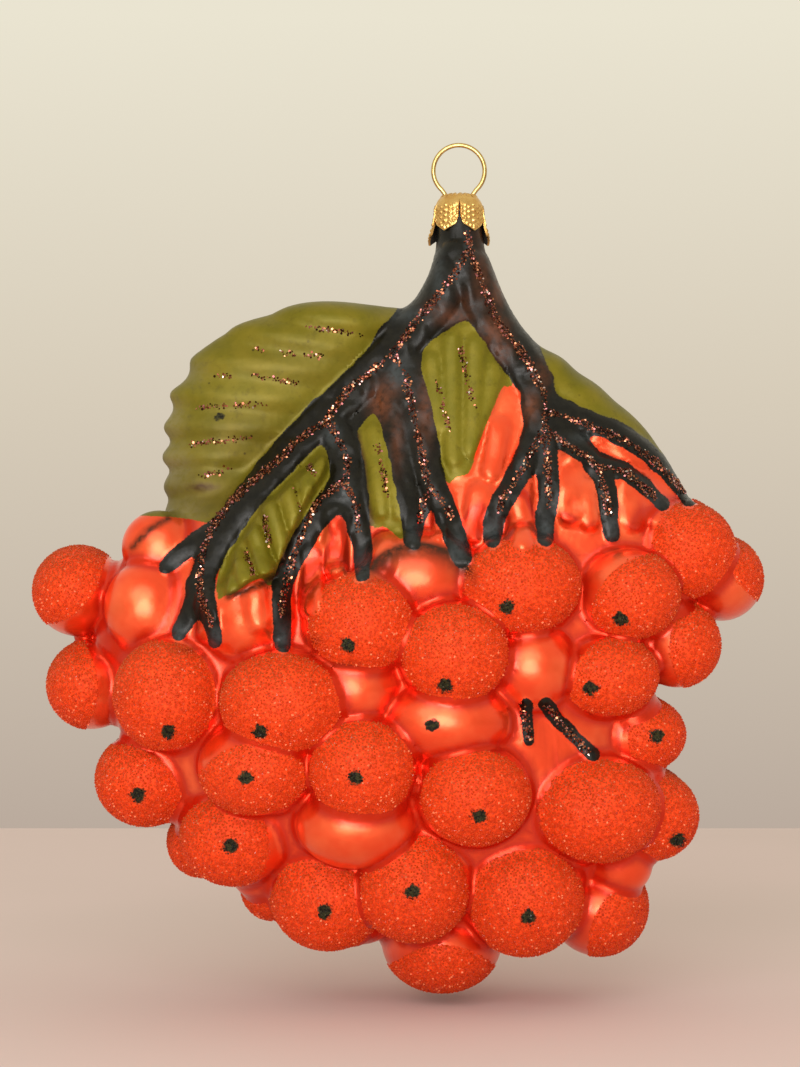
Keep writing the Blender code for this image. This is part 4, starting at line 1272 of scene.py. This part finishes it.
def green_lacquer(finish, cloud, sheen_and_pale_margin):
    """Olive with golden clouds, dark blotches and flecks, and a pale margin."""
    green = finish.mix(finish.span(finish.noise(5.0, 4.0), 0.3, 0.7), LEAF_GREEN, LEAF_GOLD)
    blotches = finish.span(finish.noise(1.6, 5.0, 0.7), 0.52, 0.8, 0.0, 0.6)
    green = finish.mix(blotches, green, LEAF_DARK)
    dots = finish.span(finish.cells(2.6), 0.10, 0.06)
    flecks = finish.math("MULTIPLY", dots, finish.span(cloud, 0.45, 0.6))
    green = finish.mix(flecks, green, LEAF_DARK)
    return finish.mix(sheen_and_pale_margin, green, LEAF_PALE)


def black_lacquer(finish, sheen_and_pale_margin):
    """Charcoal with rust, and bluish grey painted highlights sprayed over its tips and forks."""
    black = finish.mix(finish.span(finish.noise(1.4, 5.0, 0.7), 0.35, 0.7), TWIG_BLACK, TWIG_SOFT)
    rust = finish.sprayed("rust", finish.span(finish.noise(1.0, 4.0), 0.25, 0.62, 0.3, 1.0))
    black = finish.mix(rust, black, TWIG_RUST)
    # Painted highlights: bluish grey where the sheen spots lie.
    return finish.mix(sheen_and_pale_margin, black, TWIG_PAINTED_SHEEN)


def painted_glass():
    """Silvered glass under clear lacquers: red, green, black and brown, painted by hand, with painted shade
    in brown and in the creases and painted highlights on the twigs.
    """
    finish = Finish("painted_glass", Coat_Roughness=0.25, Coat_IOR=1.5, Specular_IOR_Level=0.16)
    brush = finish.noise(0.35, 4.0, 0.65)
    cloud = finish.noise(9.0, 3.0)
    grain = finish.noise(0.5, 3.0, 0.7)
    crease = finish.value("crease")
    # Painted highlights on the twigs, and a pale margin on the left leaf.
    sheen_and_pale_margin = finish.sprayed("sheen_and_pale_margin", finish.span(finish.noise(0.8, 4.0), 0.25, 0.6, 0.35, 0.9))
    airbrush_and_shade = finish.sprayed("airbrush_and_shade", finish.span(finish.noise(1.2, 4.0), 0.2, 0.6, 0.75, 1.0))
    sugared = finish.span(finish.frayed("sugar_edge", brush, 0.5), 0.35, 0.1)
    on_leaf = finish.span(finish.frayed("leaf_edge", brush, 0.35), 0.26, 0.1)
    on_twig = finish.span(finish.frayed("twig_edge", brush, 0.5), 0.34, 0.18)
    on_calyx = finish.span(finish.frayed("calyx_edge", finish.noise(1.1, 4.0), 1.9), 0.75, 0.35)

    bed = finish.mix(finish.span(finish.noise(0.6), 0.35, 0.7), SUGAR_BED, LACQUER_RED)
    colour = finish.mix(sugared, red_lacquer(finish, cloud, crease), bed)
    colour = finish.mix(on_leaf, colour, green_lacquer(finish, cloud, sheen_and_pale_margin))
    # Brown airbrush and painted shade: on the left leaf, in two creases and along one berry's top.
    colour = finish.mix(airbrush_and_shade, colour, AIRBRUSH_AND_SHADE_BROWN)
    colour = finish.mix(on_twig, colour, black_lacquer(finish, sheen_and_pale_margin))
    mark = finish.mix(finish.span(grain, 0.4, 0.6), CALYX_BLACK, CALYX_OLIVE)
    colour = finish.mix(on_calyx, colour, mark)

    metal = finish.layered(0.72, (sugared, 0.1), (airbrush_and_shade, 0.2), (on_leaf, 0.24), (on_twig, 0.0),
                           (on_calyx, 0.0))
    silver_rough = finish.span(cloud, 0.2, 0.8, 0.27, 0.37)
    twig_rough = finish.span(grain, 0.3, 0.7, 0.28, 0.5)
    rough = finish.layered(silver_rough, (sugared, 0.6), (on_leaf, 0.42), (on_twig, twig_rough),
                           (on_calyx, 0.75))
    clear = finish.span(crease, 0.4, 0.8, 0.6, 0.15)
    coat = finish.layered(clear, (sugared, 0.0), (airbrush_and_shade, 0.1), (on_leaf, 0.04), (on_twig, 0.12),
                          (on_calyx, 0.0))
    finish.set(Base_Color=colour, Metallic=metal, Roughness=rough, Coat_Weight=coat)
    swell = finish.math("MULTIPLY", finish.noise(3.0, 2.0), 0.7)
    grit = finish.math("MULTIPLY", grain, finish.between(sugared, 0.05, 0.9))
    finish.bump(finish.math("ADD", swell, grit), 0.25, 0.6)
    return finish.material


def sugar_grain():
    """Clear grains sprayed with the same red, darkened where a calyx mark is dabbed on, with brown painted
    shade toward each berry's upper left and painted glints on a few.
    """
    finish = Finish("sugar_grain", Specular_IOR_Level=0.26)
    tone = finish.value("tone")
    glint = finish.math("FRACT", finish.math("MULTIPLY", tone, 17.0))
    finish.set(Roughness=finish.span(glint, 0.7, 0.95, 0.6, 0.14))
    colour = finish.mix(finish.span(tone, 0.0, 1.0), SUGAR_RED, SUGAR_WARM)
    # Painted glints: a few grains turn pale peach to stand in for sparkle.
    colour = finish.mix(finish.span(tone, 0.92, 0.98, 0.0, 0.7), colour, SUGAR_PAINTED_GLINT)
    colour = finish.mix(finish.span(tone, 0.05, 0.01, 0.0, 0.6), colour, SUGAR_DEEP)
    # Painted shade: the grains darken toward brown on each berry's upper left.
    colour = finish.mix(finish.value("painted_top_shade"), colour, SUGAR_TOP_SHADE)
    cloud = finish.noise(6.0, 2.0)
    colour = finish.mix(finish.span(cloud, 0.5, 0.75, 0.0, 0.45), colour, SUGAR_CLOUD)
    calyx = finish.frayed("calyx_edge", finish.noise(1.1, 4.0), 1.9)
    calyx = finish.math("ADD", calyx, finish.math("MULTIPLY", tone, 0.3))
    mark = finish.mix(finish.span(tone, 0.2, 0.9), CALYX_BLACK, CALYX_OLIVE)
    colour = finish.mix(finish.span(calyx, 1.05, 0.6), colour, mark)
    finish.set(Base_Color=colour)
    return finish.material


def copper_flake():
    """Glitter in copper, rose, silver and burnt brown."""
    finish = Finish("copper_flake", Metallic=1.0, Roughness=0.24)
    tone = finish.value("tone")
    colour = finish.mix(finish.span(tone, 0.2, 0.5), FLAKE_DARK, FLAKE_COPPER)
    colour = finish.mix(finish.span(tone, 0.5, 0.75), colour, FLAKE_BRIGHT)
    colour = finish.mix(finish.span(tone, 0.75, 0.9), colour, FLAKE_ROSE)
    colour = finish.mix(finish.span(tone, 0.94, 1.0), colour, FLAKE_SILVER)
    burnt = finish.span(finish.noise(0.6), 0.4, 0.7, 0.0, 0.4)
    finish.set(Base_Color=finish.mix(burnt, colour, FLAKE_BURNT))
    return finish.material


def stamped_gold():
    """Thin gold-coloured sheet, duller where it is worn."""
    finish = Finish("stamped_gold", Metallic=1.0)
    worn = finish.noise(1.1, 4.0, 0.7)
    colour = finish.mix(finish.span(worn, 0.3, 0.75), GOLD_BRIGHT, GOLD_WORN)
    finish.set(Base_Color=colour, Roughness=finish.span(worn, 0.3, 0.8, 0.24, 0.42))
    finish.bump(finish.noise(0.25, 3.0), 0.03, 0.6)
    return finish.material


def cap_inside():
    """The cap's dark inside."""
    finish = Finish("cap_inside", Metallic=0.2, Roughness=0.6)
    finish.set(Base_Color=finish.mix(finish.noise(0.8), INSIDE_DARK, INSIDE_BROWN))
    return finish.material


def drawn_wire():
    """Gold-coloured wire with fine scratches."""
    finish = Finish("drawn_wire", Metallic=1.0)
    scratch = finish.noise(0.5, 5.0, 0.5)
    colour = finish.mix(finish.span(scratch, 0.3, 0.7), WIRE_BRIGHT, WIRE_WORN)
    finish.set(Base_Color=colour, Roughness=finish.span(scratch, 0.2, 0.8, 0.16, 0.3))
    finish.bump(scratch, 0.02, 0.4)
    return finish.material


def paper_floor():
    """Pale matt board, a little rosy."""
    finish = Finish("paper_floor", Roughness=0.85, Specular_IOR_Level=0.2)
    cloud = finish.span(finish.noise(160.0, 2.0), 0.3, 0.7)
    finish.set(Base_Color=finish.mix(cloud, BOARD_PALE, BOARD_DIM))
    return finish.material


# ---- what is glued on: scattered by geometry nodes ---------------------------------------------------------
# A grain is made one unit across and then scaled. Flakes are thin and lie nearly flat, sugar lies anyhow.
FLAKE_SIDES = 5
FLAKE_THICKNESS = 0.22
FLAKE_TILT = 0.55
SUGAR_TILT = 3.1
SPIN = 3.1
# Grains are strewn up to this edge distance, and each one stays if it is inside its own chance edge.
STREWN_UNTIL = 0.8
KEPT_FROM = -0.12
KEPT_TO = 0.22
# How many grains are tried on the square of their spacing.
CROWDING = 2.2


def scatter_tree(name, flat):
    """A tree that glues small closed grains on the part of a skin that an attribute marks."""
    tree = bpy.data.node_groups.new(name, "GeometryNodeTree")
    tree.interface.new_socket("Skin", in_out="INPUT", socket_type="NodeSocketGeometry")
    for label, kind in (("Edge", "String"), ("From Y", "Float"), ("To Y", "Float"), ("Spacing", "Float"),
                        ("Smallest", "Float"), ("Largest", "Float"), ("Proud", "Float"), ("Seed", "Int"),
                        ("Finish", "Material")):
        tree.interface.new_socket(label, in_out="INPUT", socket_type="NodeSocket" + kind)
    tree.interface.new_socket("Grains", in_out="OUTPUT", socket_type="NodeSocketGeometry")
    given = tree.nodes.new("NodeGroupInput").outputs

    def node(kind, settings=None, **inputs):
        return add_node(tree, kind, settings, **inputs)

    def reckon(operation, a, b):
        return node("ShaderNodeMath", {"operation": operation}, _0=a, _1=b).outputs[0]

    def compare(operation, a, b):
        settings = {"data_type": "FLOAT", "operation": operation}
        return node("FunctionNodeCompare", settings, _0=a, _1=b).outputs[0]

    def both(a, b):
        return node("FunctionNodeBooleanMath", {"operation": "AND"}, _0=a, _1=b).outputs[0]

    def chance(kind, number, **ends):
        seed = reckon("ADD", given["Seed"], number)
        return node("FunctionNodeRandomValue", {"data_type": kind}, Seed=seed, **ends).outputs

    marked = node("GeometryNodeInputNamedAttribute", {"data_type": "FLOAT"}, Name=given["Edge"])
    edge = marked.outputs["Attribute"]
    y = node("ShaderNodeSeparateXYZ", _0=node("GeometryNodeInputPosition").outputs[0]).outputs[1]
    zone = both(compare("GREATER_EQUAL", y, given["From Y"]), compare("LESS_THAN", y, given["To Y"]))
    wanted = both(zone, compare("LESS_THAN", edge, STREWN_UNTIL))
    crowding = reckon("DIVIDE", CROWDING, reckon("MULTIPLY", given["Spacing"], given["Spacing"]))
    strewn = node("GeometryNodeDistributePointsOnFaces", {"distribute_method": "POISSON"}, Mesh=given["Skin"],
                  Selection=wanted, Distance_Min=given["Spacing"], Density_Max=crowding, Seed=given["Seed"])
    own_edge = chance("FLOAT", 0.0, _2=KEPT_FROM, _3=KEPT_TO)[1]
    kept = node("GeometryNodeDeleteGeometry", {"domain": "POINT"}, Geometry=strewn.outputs["Points"],
                Selection=compare("GREATER_THAN", edge, own_edge))
    if flat:
        grain = node("GeometryNodeMeshCylinder", {"fill_type": "TRIANGLE_FAN"}, Vertices=FLAKE_SIDES,
                     Radius=0.5, Depth=FLAKE_THICKNESS)
    else:
        grain = node("GeometryNodeMeshUVSphere", Segments=4, Rings=2, Radius=0.5)
    size = chance("FLOAT_VECTOR", 1.0, _0=given["Smallest"], _1=given["Largest"])[0]
    tilt = FLAKE_TILT if flat else SUGAR_TILT
    lean = chance("FLOAT_VECTOR", 2.0, _0=(-tilt, -tilt, -SPIN), _1=(tilt, tilt, SPIN))[0]
    turned = node("FunctionNodeRotateRotation", {"rotation_space": "LOCAL"},
                  Rotation=strewn.outputs["Rotation"], Rotate_By=lean)
    placed = node("GeometryNodeInstanceOnPoints", Points=kept.outputs[0], Instance=grain.outputs["Mesh"],
                  Rotation=turned.outputs[0], Scale=size)
    outward = node("ShaderNodeVectorMath", {"operation": "SCALE"}, _0=strewn.outputs["Normal"],
                   Scale=given["Proud"])
    raised = node("GeometryNodeTranslateInstances", Instances=placed.outputs[0],
                  Translation=outward.outputs[0], Local_Space=False)
    toned = node("GeometryNodeStoreNamedAttribute", {"data_type": "FLOAT", "domain": "INSTANCE"},
                 Geometry=raised.outputs[0], Name="tone", Value=chance("FLOAT", 3.0)[1])
    solid = node("GeometryNodeRealizeInstances", Geometry=toned.outputs[0])
    finished = node("GeometryNodeSetMaterial", Geometry=solid.outputs[0], Material=given["Finish"])
    node("NodeGroupOutput", Grains=finished.outputs[0])
    return tree


# Values of the skin that its grains don't use.
SPARE_VALUES = ("sugar_edge", "glitter_edge", "twig_edge", "leaf_edge", "rust", "sheen_and_pale_margin", "airbrush_and_shade", "crease")


def scattered(name, skin, tree, material, **measures):
    """A plain piece made of the grains that a tree strews on the skin."""
    host = bpy.data.objects.new(name, skin.data.copy())
    bpy.context.scene.collection.objects.link(host)
    strewing = host.modifiers.new("Strew", "NODES")
    strewing.node_group = tree
    given = {**measures, "Finish": material}
    for item in tree.interface.items_tree:
        if item.in_out == "INPUT" and item.name in given:
            strewing[item.identifier] = given[item.name]
    plain_mesh(host)
    for spare in SPARE_VALUES:
        if spare in host.data.attributes:
            host.data.attributes.remove(host.data.attributes[spare])
    return host


# ---- cap and ring ------------------------------------------------------------------------------------------
def petal_edge(share, tip_z):
    """Height of a petal's edge: share is 0 at its middle and 1 in the slit beside it."""
    reach = abs(share)
    if reach < SLIT:
        corner = max(0.0, (reach - CORNER_FROM) / (SLIT - CORNER_FROM)) ** 2
        return tip_z + PETAL_SIDE_RISE * reach / SLIT + PETAL_CORNER * corner
    opened = (reach - SLIT) / (1 - SLIT)
    side_z = tip_z + PETAL_SIDE_RISE + PETAL_CORNER
    return side_z + (SLIT_TOP_Z - side_z) * min(1.0, opened * SLIT_OPENING) ** SLIT_CURVE


def petal_beads(tip_z):
    """Where the beads stand on a petal: across from its middle, height, radius."""
    beads = []
    last = None
    for i in range(EDGE_STEPS + 1):
        share = -EDGE_FROM + 2 * EDGE_FROM * i / EDGE_STEPS
        place = (share * PETAL_HALF_WIDTH * EDGE_NARROWED, petal_edge(share, tip_z) + EDGE_LIFT)
        if abs(share) < EDGE_UNTIL and (last is None or math.dist(place, last) > EDGE_BEAD_GAP):
            beads.append((*place, EDGE_BEAD))
            last = place
    for side in (-1, 1):
        for i in range(SIDE_BEADS):
            z = SIDE_TOP_Z - SIDE_STEP * i
            if z > tip_z + PETAL_SIDE_RISE + SIDE_MARGIN:
                beads.append((side * PETAL_HALF_WIDTH * EDGE_NARROWED, z, EDGE_BEAD))
    for i in range(SIDE_BEADS):
        beads.append((0.0, MIDDLE_TOP_Z - MIDDLE_STEP * i, MIDDLE_BEADS[i % 2]))
    for i in range(LINE_BEADS):
        for side in (-1, 1):
            for across, top_z, step, bead in BEAD_LINES:
                beads.append((side * across, top_z - step * i, bead))
    return [bead for bead in beads if bead[1] > tip_z + TIP_MARGIN]


def dome_beads():
    """Where the beads stand on the dome, seen from above."""
    beads = []
    for radius, count, first in DOME_BEAD_RINGS:
        for angle in np.linspace(first, 2 * math.pi + first, count, endpoint=False):
            beads.append((radius * math.cos(angle), radius * math.sin(angle)))
    return beads


def dome_place(row, angle, beads):
    """A place on the dome: radius, height, how far a bead lifts it and how upright the sheet stands."""
    rows = np.array(CAP_DOME)
    share = row / DOME_ROWS * (len(rows) - 1)
    radius = float(np.interp(share, range(len(rows)), rows[:, 0]))
    z = float(np.interp(share, range(len(rows)), rows[:, 1]))
    place = (radius * math.sin(angle), radius * math.cos(angle))
    rise = max(DOME_BEAD_RISE * bump(min(1.0, math.dist(place, bead) / DOME_BEAD)) for bead in beads)
    return radius, z, rise, (row / DOME_ROWS) ** 3


def petal_place(row, share, petal, beads):
    """The same for a place on a petal, which hangs from the shoulder and flares toward its tip."""
    tip_z, flare = petal
    shoulder_radius, shoulder_z = CAP_DOME[-1]
    z = shoulder_z + (petal_edge(share, tip_z) - shoulder_z) * (row - DOME_ROWS) / PETAL_ROWS
    curve = max(0.0, 1 - (shoulder_z - z) / SHOULDER_BEND) ** 2
    radius = CAP_RADIUS + (shoulder_radius - CAP_RADIUS) * curve
    radius += flare * max(0.0, FLARE_FROM_Z - z) / FLARE_LENGTH
    place = (share * PETAL_HALF_WIDTH, z)
    rise = max(size * BEAD_RISE * bump(min(1.0, math.dist(place, bead) / size)) for *bead, size in beads)
    return radius, z, rise, 1.0


def cap_rows():
    """Rows of points round the cap, from its middle to its edge: on its outside and on its inside."""
    half_turn = math.pi / len(PETALS)
    on_dome = dome_beads()
    on_petals = [petal_beads(tip_z) for tip_z, flare in PETALS]
    outside = []
    inside = []
    for row in range(1, DOME_ROWS + PETAL_ROWS + 1):
        outer = []
        inner = []
        for index, petal in enumerate(PETALS):
            for step in range(PETAL_STEPS):
                share = -1 + 2 * step / PETAL_STEPS
                angle = (2 * index + 1 + share) * half_turn
                if row <= DOME_ROWS:
                    radius, z, rise, lean = dome_place(row, angle, on_dome)
                else:
                    radius, z, rise, lean = petal_place(row, share, petal, on_petals[index])
                out = Vector((math.sin(angle), -math.cos(angle), 0))
                normal = (out * lean + Vector((0, 0, 1 - lean))).normalized()
                middle = out * radius + Vector((0, 0, z))
                outer.append(middle + normal * rise)
                inner.append(middle - normal * CAP_SHEET)
        outside.append(outer)
        inside.append(inner)
    return outside, inside


def make_cap(gold, dark):
    """The stamped crown: a domed sheet with beaded petals, dark on the inside."""
    outside, inside = cap_rows()
    rows = len(outside)
    count = len(outside[0])
    top_z = CAP_DOME[0][1]
    points = [Vector((0, 0, top_z)), Vector((0, 0, top_z - CAP_SHEET))]
    points += [point for row in outside + inside for point in row]
    first_outer = 2
    first_inner = first_outer + rows * count
    faces = []
    marks = []
    for centre, first, mark in ((0, first_outer, 0), (1, first_inner, 1)):
        for i in range(count):
            j = (i + 1) % count
            wedge = [(centre, first + i, first + j)]
            for row in range(rows - 1):
                a = first + row * count
                b = a + count
                wedge.append((a + i, b + i, b + j, a + j))
            faces += [face[::-1] for face in wedge] if mark else wedge
            marks += [mark] * len(wedge)
    rim = first_inner - count
    inner_rim = len(points) - count
    for i in range(count):
        j = (i + 1) % count
        faces.append((rim + i, inner_rim + i, inner_rim + j, rim + j))
        marks.append(0)
    cap = mesh_piece("stamped_cap", [tuple(point) for point in points], faces, (gold, dark))
    cap.data.polygons.foreach_set("material_index", marks)
    return cap


def wire_course():
    """The wire's middle line: up one leg, round the ring and down the other leg."""
    centre_z = WIRE_RADIUS - RING_RADIUS
    leg = [tuple(point) for point in rounded(LEG)]
    line = [(-x, z) for x, z in reversed(leg)]
    for i in range(RING_STEPS + 1):
        angle = math.radians(RING_OPEN_ANGLE + (360 - 2 * RING_OPEN_ANGLE) * i / RING_STEPS)
        line.append((-RING_RADIUS * math.sin(angle), centre_z - RING_RADIUS * math.cos(angle)))
    return [Vector((x, 0, z)) for x, z in line + leg]


def wire_end(place, outward, along):
    """The narrowing sections that round an end of the wire, from the wire out."""
    return [(place + outward * WIRE_RADIUS * lift, along, WIRE_RADIUS * math.sqrt(1 - lift ** 2))
            for lift in WIRE_END_LIFTS]


def make_ring(material):
    """One wire with rounded ends."""
    course = wire_course()
    first_along = (course[1] - course[0]).normalized()
    last_along = (course[-1] - course[-2]).normalized()
    sections = wire_end(course[0], -first_along, first_along)[::-1]
    for i, place in enumerate(course):
        along = (course[min(i + 1, len(course) - 1)] - course[max(i - 1, 0)]).normalized()
        sections.append((place, along, WIRE_RADIUS))
    sections += wire_end(course[-1], last_along, last_along)
    points = []
    for place, along, radius in sections:
        across = Vector((0, 1, 0))
        up = along.cross(across)
        for k in range(WIRE_SIDES):
            angle = 2 * math.pi * k / WIRE_SIDES
            points.append(tuple(place + radius * (across * math.cos(angle) + up * math.sin(angle))))
    faces = []
    for section in range(len(sections) - 1):
        a = section * WIRE_SIDES
        b = a + WIRE_SIDES
        for k in range(WIRE_SIDES):
            j = (k + 1) % WIRE_SIDES
            faces.append((a + k, a + j, b + j, b + k))
    last = len(points) - WIRE_SIDES
    faces.append(tuple(reversed(range(WIRE_SIDES))))
    faces.append(tuple(last + k for k in range(WIRE_SIDES)))
    return mesh_piece("wire_ring", points, faces, (material,))


def faced_outward(piece):
    """The piece with every face turned to the outside."""
    shape = bmesh.new()
    shape.from_mesh(piece.data)
    bmesh.ops.recalc_face_normals(shape, faces=shape.faces)
    shape.to_mesh(piece.data)
    shape.free()
    return piece


# ---- the pieces --------------------------------------------------------------------------------------------
GLASS = painted_glass()
FIELD = glass_field()
SKIN_POINTS, SKIN_FACES = skin_mesh(FIELD)
SKIN_POINTS = settled(FIELD, SKIN_POINTS)
skin = mesh_piece("glass_skin", SKIN_POINTS, SKIN_FACES.tolist(), (GLASS,))
thinned(skin, SKIN_TRIANGLES)
skin.data.shade_smooth()
paint_skin(skin)
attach(skin, "root")
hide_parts("glass_body")

SUGAR = sugar_grain()
GRAIN_TREE = scatter_tree("strewn_sugar", flat=False)
# The sugar in five pieces, each between two distances from the seam, in metres.
SUGAR_ZONES = (
    ("sugar_front", -0.05, -0.0175), ("sugar_front_flank", -0.0175, -0.007), ("sugar_seam", -0.007, 0.007),
    ("sugar_back_flank", 0.007, 0.0175), ("sugar_back", 0.0175, 0.05),
)
for number, (label, from_y, to_y) in enumerate(SUGAR_ZONES):
    grains = scattered(label, skin, GRAIN_TREE, SUGAR, **{
        "Edge": "sugar_edge", "From Y": from_y, "To Y": to_y, "Spacing": 0.34 * MM, "Smallest": 0.28 * MM,
        "Largest": 0.52 * MM, "Proud": 0.02 * MM, "Seed": SEED + number})
    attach(grains, "root")

COPPER = copper_flake()
FLAKE_TREE = scatter_tree("strewn_glitter", flat=True)
flakes = scattered("copper_glitter", skin, FLAKE_TREE, COPPER, **{
    "Edge": "glitter_edge", "From Y": -0.05, "To Y": 0.05, "Spacing": 0.25 * MM, "Smallest": 0.18 * MM,
    "Largest": 0.46 * MM, "Proud": 0.06 * MM, "Seed": SEED + 7})
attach(flakes, "root")

cap = faced_outward(make_cap(stamped_gold(), cap_inside()))
cap.data.shade_smooth()
cap.data.set_sharp_from_angle(angle=math.radians(CAP_SHARP_ANGLE))
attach(cap, "root")
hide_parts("cap")

ring = faced_outward(make_ring(drawn_wire()))
ring.data.shade_smooth()
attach(ring, "root")
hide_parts("hanger")


# ---- floor, light and camera -------------------------------------------------------------------------------
FLOOR_GAP = 1.2
FLOOR_HALF_X = 460.0
FLOOR_HALF_Y = 235.0
FLOOR_CORNER = 40.0
CORNER_STEPS = 12
# The board's edge from its top down: drop, inset.
FLOOR_EDGE = ((0.0, 1.5), (-0.4, 0.5), (-1.5, 0.0), (-6.0, 0.0))


def make_floor(material):
    """A pale board with rounded corners, just under the piece."""
    top_z = CAD_BOX[0].z / MM - FLOOR_GAP
    outline = []
    for turn in range(4):
        middle_x = (FLOOR_HALF_X - FLOOR_CORNER) * (1 if turn in (0, 3) else -1)
        middle_y = (FLOOR_HALF_Y - FLOOR_CORNER) * (1 if turn in (0, 1) else -1)
        for step in range(CORNER_STEPS + 1):
            angle = math.pi / 2 * (turn + step / CORNER_STEPS)
            x = middle_x + FLOOR_CORNER * math.cos(angle)
            y = middle_y + FLOOR_CORNER * math.sin(angle)
            outline.append((x, y))
    points = []
    for drop, inset in FLOOR_EDGE:
        for x, y in outline:
            points.append((x * (1 - inset / FLOOR_HALF_X), y * (1 - inset / FLOOR_HALF_Y), top_z + drop))
    count = len(outline)
    faces = [tuple(range(count)), tuple(reversed(range(len(points) - count, len(points))))]
    for row in range(len(FLOOR_EDGE) - 1):
        above = row * count
        below = above + count
        for i in range(count):
            j = (i + 1) % count
            faces.append((below + i, below + j, above + j, above + i))
    return mesh_piece("floor", points, faces, (material,))


def add_light(name, place, aim, size, power, colour):
    """An oval soft light at a place, turned to what it is aimed at."""
    light = bpy.data.lights.new(name, "AREA")
    light.shape = "ELLIPSE"
    light.size, light.size_y = (side * MM for side in size)
    light.energy = power
    light.color = colour
    lamp = bpy.data.objects.new(name, light)
    lamp.location = Vector(place) * MM
    lamp.rotation_euler = (Vector(aim) - Vector(place)).to_track_quat("-Z", "Y").to_euler()
    bpy.context.scene.collection.objects.link(lamp)


make_floor(paper_floor())
add_light("window", place=(-120, -620, 260), aim=(0, 0, -60), size=(700, 460), power=1.9,
          colour=(1.0, 0.99, 0.96))
add_light("near_camera", place=(-60, -580, -90), aim=(0, 0, -80), size=(400, 360), power=2.5,
          colour=(1.0, 0.98, 0.95))

ROOM_LOW = srgb(184, 168, 155)
ROOM_MIDDLE = srgb(215, 204, 185)
ROOM_HIGH = srgb(234, 228, 209)
# Directions are shares of 1: where the room is lowest and highest in colour, and the middle colour's share.
ROOM_LOW_AT = -0.12
ROOM_HIGH_AT = 0.19
ROOM_MIDDLE_SHARE = 0.55
# The room is a little dimmer behind the camera, fully so at this direction.
DIMMED = 0.78
DIMMED_AT = -0.9


def pale_room():
    """The room all round: pale above and a little darker and rosier below."""
    world = bpy.data.worlds.new("pale_room")
    world.use_nodes = True
    tree = world.node_tree
    direction = add_node(tree, "ShaderNodeTexCoord").outputs["Generated"]
    x, y, z = add_node(tree, "ShaderNodeSeparateXYZ", _0=direction).outputs
    height = add_node(tree, "ShaderNodeMapRange", Value=z, From_Min=ROOM_LOW_AT, From_Max=ROOM_HIGH_AT)
    ramp = add_node(tree, "ShaderNodeValToRGB", Fac=height.outputs["Result"])
    ramp.color_ramp.elements[0].color = (*ROOM_LOW, 1)
    ramp.color_ramp.elements[1].color = (*ROOM_HIGH, 1)
    ramp.color_ramp.elements.new(ROOM_MIDDLE_SHARE).color = (*ROOM_MIDDLE, 1)
    dimmed = add_node(tree, "ShaderNodeMapRange", {"interpolation_type": "SMOOTHSTEP"}, Value=y,
                      From_Min=DIMMED_AT, From_Max=0.0, To_Min=DIMMED)
    background = tree.nodes["Background"]
    feed(tree, background.inputs["Color"], ramp.outputs["Color"])
    feed(tree, background.inputs["Strength"], dimmed.outputs["Result"])
    return world


bpy.context.scene.world = pale_room()
bpy.context.scene.view_settings.view_transform = "Standard"

CAMERA_PLACE = (-8.85, -400.0, -57.9)
VIEW_HEIGHT = 160.05
SENSOR_HEIGHT = 24.0
camera_data = bpy.data.cameras.new("camera")
camera_data.sensor_fit = "VERTICAL"
camera_data.sensor_height = SENSOR_HEIGHT
camera_data.lens = SENSOR_HEIGHT * -CAMERA_PLACE[1] / VIEW_HEIGHT
camera_data.clip_start = 0.01
camera = bpy.data.objects.new("camera", camera_data)
camera.location = Vector(CAMERA_PLACE) * MM
camera.rotation_euler = (math.pi / 2, 0, 0)
bpy.context.scene.collection.objects.link(camera)
bpy.context.scene.camera = camera
